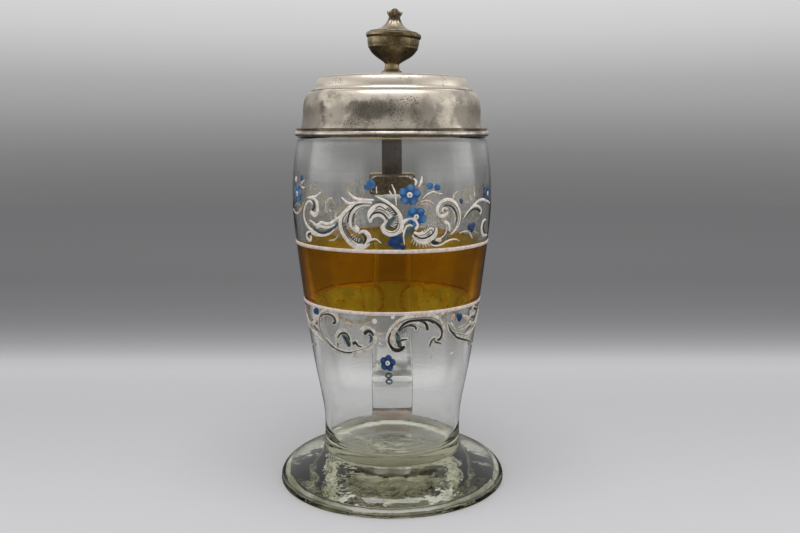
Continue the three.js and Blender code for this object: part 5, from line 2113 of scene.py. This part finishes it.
# Studio


@dataclass(frozen=True)
class Lamp:
    """Soft rectangular lamp that the camera doesn't see, in metres and watts.

    Attributes:
        name: Name of the lamp.
        place: Its middle.
        target: Point that it faces.
        size: Its width and height.
        watts: Its power.
        mirrored: Whether bright surfaces show its reflection.
    """

    name: str
    place: Triple
    target: Triple
    size: Point
    watts: float
    mirrored: bool = True

    def hang(self) -> None:
        """Hangs the lamp."""
        data = bpy.data.lights.new(self.name, "AREA")
        data.shape = "RECTANGLE"
        data.size, data.size_y = self.size
        data.energy = self.watts
        lamp = placed(self.name, data)
        lamp.location = self.place
        lamp.rotation_mode = "QUATERNION"
        way = Vector(self.target) - Vector(self.place)
        lamp.rotation_quaternion = way.to_track_quat("-Z", "Y")
        lamp.visible_camera = False
        lamp.visible_transmission = False
        lamp.visible_glossy = self.mirrored


@dataclass
class Studio:
    """Pale floor, backdrop, soft lamps and the camera of the photograph.

    Directions in the room are parts of a way of length one: sideways, forwards and up. Two of
    them are where something starts and where it is full.

    Attributes:
        camera_place: Place of the camera, in metres.
        pitch: Angle in degrees by which it looks down.
        yaw: Angle in degrees by which it looks to the right.
        lens: Its focal length, in millimetres.
        sensor: Width of its sensor, in millimetres.
        floor_gap: How far the floor lies below the ground ring, in metres.
        window: How much brighter the windows of the room are in reflections.
        window_foot: Their lower edge.
        window_top: Their upper edge.
        window_side: Their edge towards the middle.
        window_front: Their edge towards the back.
        front_dark: How much darker the room's lower front is in reflections.
        low_front: Its edge towards the back.
        low_top: Its upper edge.
        paper: Distances at which the pale paper turns into the darker floor beside it, which is painted
            shade laid just outside the camera's view.
        paper_spread: How much wider the paper gets for each metre towards the back.
        side_shade_level: Screen level of that darker floor of painted shade.
        mirror_dark: How dark the floor is in reflections.
        lamps: The lamps.
        room_levels: Screen level of the room at places up its height.
        floor_sides: Half width of the floor, and where it starts and ends.
        floor_tint: Share of red, green and blue in the floor's level.
        floor_levels: Scene-linear level of the floor at distances behind the vessel's axis; its fall
            towards the back is painted shade, and it also falls towards the front.
    """

    camera_place: Triple = (0.0, -0.4885, 0.1963)
    pitch: float = 8.77
    yaw: float = 0.52
    lens: float = 39.6
    sensor: float = 36.0
    floor_gap: float = 0.0002
    window: float = 3.5
    window_foot: Point = (-0.3, -0.15)
    window_top: Point = (0.25, 0.05)
    window_side: Point = (0.4, 0.7)
    window_front: Point = (-0.45, -0.15)
    front_dark: float = 0.6
    low_front: Point = (0.0, 0.7)
    low_top: Point = (0.42, 0.12)
    paper: Point = (0.25, 0.33)
    paper_spread: float = 0.455
    side_shade_level: float = 92.0
    mirror_dark: float = 0.9
    lamps: tuple[Lamp, ...] = (
        Lamp("overhead", (0.0, -0.12, 0.95), (0, 0, 0.1), (0.6, 0.3), 3.2),
        Lamp("fill", (0.0, -1.3, 0.55), (0, 0, 0.12), (0.9, 0.7), 4.0, False),
        Lamp("panel_left", (-0.85, -0.02, 0.32), (0, 0, 0.15), (0.5, 0.6), 0.4),
        Lamp("panel_right", (0.85, -0.02, 0.32), (0, 0, 0.15), (0.5, 0.6), 0.65))
    room_levels: tuple[Point, ...] = (
        (0.0, 113), (0.24, 113), (0.292, 118), (0.348, 128), (0.4, 142), (0.457, 159),
        (0.512, 172), (0.564, 189), (0.619, 204), (0.675, 213), (1.0, 226))
    floor_sides: Triple = (1.6, -1.0, 1.8)
    floor_tint: Triple = (0.99, 0.99, 1.03)
    floor_levels: tuple[Point, ...] = (
        (-0.9, 0.09), (-0.45, 0.1), (-0.3, 0.16), (-0.2, 0.28), (-0.13, 0.46), (-0.09, 0.54),
        (-0.045, 0.53), (-0.012, 0.515), (0.027, 0.497), (0.072, 0.478), (0.127, 0.47),
        (0.192, 0.49), (0.220, 0.513), (0.253, 0.485), (0.288, 0.37), (0.327, 0.286),
        (0.369, 0.231), (0.416, 0.195), (0.497, 0.17), (0.666, 0.154), (0.90, 0.165))

    def camera(self) -> None:
        """Sets the camera at the photograph's angle."""
        data = bpy.data.cameras.new("photo_camera")
        data.lens, data.sensor_width = self.lens, self.sensor
        eye = placed("photo_camera", data)
        yaw, pitch = math.radians(self.yaw), math.radians(self.pitch)
        ahead = Vector((math.sin(yaw) * math.cos(pitch), math.cos(yaw) * math.cos(pitch),
                        -math.sin(pitch)))
        eye.location = self.camera_place
        eye.rotation_mode = "QUATERNION"
        eye.rotation_quaternion = ahead.to_track_quat("-Z", "Y")
        bpy.context.scene.camera = eye

    def backdrop(self) -> None:
        """Lights the room with a soft grey gradient, darkest at the horizon."""
        world = bpy.data.worlds.new("studio")
        bpy.context.scene.world = world
        world.use_nodes = True
        nodes = Nodes(world.node_tree)
        world.node_tree.nodes.clear()
        way = nodes.node("ShaderNodeTexCoord", output="Generated")
        side, front = nodes.axis(way, "X").size(), nodes.axis(way, "Y") * -1
        rise = nodes.axis(way, "Z")
        stops = [(place, grey(level)) for place, level in self.room_levels]
        shade = nodes.node("ShaderNodeValToRGB", {0: rise * 2 + 0.4}, "Color", stops=stops)
        lit = nodes.band(rise, *self.window_foot) * nodes.band(rise, *self.window_top)
        lit = lit * nodes.band(side, *self.window_side) * nodes.band(front, *self.window_front)
        low = nodes.band(front, *self.low_front) * nodes.band(rise, *self.low_top)
        dim = 1 + nodes.ray("Glossy") * (lit * self.window - low * self.front_dark)
        light = nodes.node("ShaderNodeBackground", {"Color": shade, "Strength": dim})
        nodes.node("ShaderNodeOutputWorld", {"Surface": light})

    def floor(self) -> None:
        """Lays the pale floor, whose colour darkens towards the back as painted shade."""
        make = Finish("studio_paper")
        away = make.coordinate("Y")
        # Painted shade: the floor's colour falls towards the back.
        stops = [((y + 1) / 2, (*(level * share for share in self.floor_tint), 1.0))
                 for y, level in self.floor_levels]
        shade = make.node("ShaderNodeValToRGB", {0: (away + 1) / 2}, "Color", stops=stops)
        grain = make.noise(30, 4, 0.6)
        # Painted shade: beside the paper, just outside the camera's view, the floor is darker.
        edge = make.coordinate("X").size() - (away + grain * 0.02) * self.paper_spread
        paper = make.mix(grain * 0.04, shade, grey(150))
        colour = make.mix(make.band(edge, *self.paper), paper, grey(self.side_shade_level))
        mirrored = make.ray("Glossy") * (1 - make.ray("Transmission"))
        colour = make.mix(mirrored * self.mirror_dark, colour, grey(20))
        material = make.done(make.principled(colour, 0.8, {"Specular IOR Level": 0.2}))
        mesh = bpy.data.meshes.new("studio_floor")
        side, front, back = self.floor_sides
        corners = ((-side, front), (side, front), (side, back), (-side, back))
        mesh.from_pydata([(x, y, -self.floor_gap) for x, y in corners], [], [(0, 1, 2, 3)])
        mesh.materials.append(material)
        placed("studio_floor", mesh)

    def build(self) -> None:
        """Sets up camera, floor, backdrop and lamps."""
        bpy.context.scene.view_settings.view_transform = "Standard"
        self.camera()
        self.backdrop()
        self.floor()
        for lamp in self.lamps:
            lamp.hang()


# Finishes of the pieces

# The foot's outer edge takes an olive tint at the left and right, as painted shade.
VESSEL_GLASS = BlownGlass("blown_glass", (0.68, 0.68, 0.53, 1), depth=25, ripple=0.25,
                          painted_light_tint=(0.42, 0.42, 0.26, 1), tint_heights=(9, 13), tint_sides=(18, 36),
                          tint_reach=(48, 57))
# Below 27 mm the strap takes a brown tint, a painted glow of the amber light refracted there.
STRAP_GLASS = BlownGlass("strap_glass", (0.62, 0.64, 0.54, 1), depth=26, ripple=1.0, waves=70,
                         painted_light_tint=(0.55, 0.4, 0.3, 1), tint_heights=(21, 27))
AMBER = AmberStain("amber_stain", pale=(0.90, 0.57, 0.035, 1), deep=(0.80, 0.46, 0.015, 1))
LINE = Enamel("line_enamel", screen(232, 216, 205), screen(206, 190, 180))
PAINTS: dict[Paint, Enamel | PetalEnamel] = {
    WHITE: Enamel("white_enamel", screen(238, 231, 222), screen(212, 201, 191)),
    CREAM: Enamel("cream_enamel", screen(218, 211, 198), screen(190, 182, 168), 0.8),
    DARK: Enamel("dark_enamel", screen(27, 34, 31), screen(48, 57, 54)),
    WASH: Enamel("teal_enamel", screen(62, 84, 88), screen(96, 114, 114), 0.75),
    # Golden-brown tint under the handle's upper root.
    GOLD: Enamel("gold_tint", screen(160, 132, 78), screen(112, 90, 54), 0.8),
    LEAF: Enamel("green_enamel", screen(132, 144, 112), screen(150, 156, 132), 0.6),
    PEACH: Enamel("peach_enamel", screen(216, 180, 158), screen(190, 166, 150), 0.8),
    BLUE: PetalEnamel("blue_enamel", screen(18, 44, 92), screen(36, 84, 140), screen(84, 134, 172)),
    NAVY: PetalEnamel("navy_enamel", screen(13, 30, 64), screen(21, 50, 96), screen(46, 86, 130)),
    EYE: Enamel("eye_enamel", screen(226, 222, 212), screen(198, 198, 192)),
}
# Dark patches on the lid: oxide, but the two at the left and right edges of the dome, as seen from the
# front, are painted shade.
LID_STAINS_AND_SHADE = (
    Patch((-10.5, -48, 206.8), (13, 12, 5.6), 0.5), Patch((17, -46, 206), (9, 14, 8), 0.3),
    Patch((-30, -38, 206), (8, 14, 9), 0.25), Patch((-43, -24, 206), (12, 26, 14), 0.45),
    Patch((40, -26, 206), (13, 22, 13), 0.45), Patch((0, 0, 203), (80, 80, 11.5), 0.32))
LID_PITS = (
    Patch((2, -49, 205), (4.5, 12, 7.5), 1.0), Patch((9, -48, 211), (6.5, 12, 3), 1.0),
    Patch((-18, -47, 200.3), (14, 12, 1.7), 1.0), Patch((-13, -48, 206), (13, 12, 6), 0.5),
    Patch((-28, -28, 221), (6, 9, 2), 0.8))
LID_GROOVES = ((217.45, 0.3), (224.3, 0.3), (197.3, 0.35))
# Painted shade on the cover's neck, under the leaves of the bud.
COVER_NECK = Patch((2, 61, 267), (8, 8, 7), 0.9)
WORN_PEWTER = Pewter("worn_pewter", screen(212, 202, 187), screen(160, 150, 136), 0.5, 0.4,
                     LID_STAINS_AND_SHADE, LID_PITS, LID_GROOVES)
DARK_PEWTER = Pewter("dark_pewter", screen(148, 132, 102), screen(92, 81, 58), 0.7, 0.38)
GOLDEN_PEWTER = Pewter("golden_pewter", screen(160, 138, 88), screen(104, 86, 50), 0.6, 0.4)
BROWN_PEWTER = Pewter("brown_pewter", screen(116, 82, 34), screen(64, 42, 14), 0.7, 0.4)
# Its oxide colour is the colour of that painted shade on the neck.
PALE_PEWTER = Pewter("pale_pewter", screen(160, 148, 131), screen(114, 103, 89), 0.5, 0.42,
                     (COVER_NECK,), oxide_and_shade=screen(66, 57, 43))
STEEL = Pewter("pin_steel", screen(150, 147, 142), screen(100, 94, 86), 0.5, 0.3)


def main() -> None:
    """Builds the studio and each sub-assembly in order."""
    logging.basicConfig(level=logging.INFO, format="%(name)s: %(message)s")
    Studio().build()
    lathe, surface = Lathe(), VesselSurface()
    GlassVessel(surface, lathe).build(VESSEL_GLASS.material(), AMBER.material())
    StrapHandle(surface).build(STRAP_GLASS.material())
    EnamelPainting(surface).build({paint: look.material() for paint, look in PAINTS.items()},
                                  LINE.material())
    pewter = WORN_PEWTER.material()
    PewterLid(lathe).build(pewter)
    Thumbpiece(lathe).build(DARK_PEWTER.material(), PALE_PEWTER.material())
    HingeMount().build(GOLDEN_PEWTER.material(), BROWN_PEWTER.material(), pewter, STEEL.material())


if __name__ == "__main__":
    main()
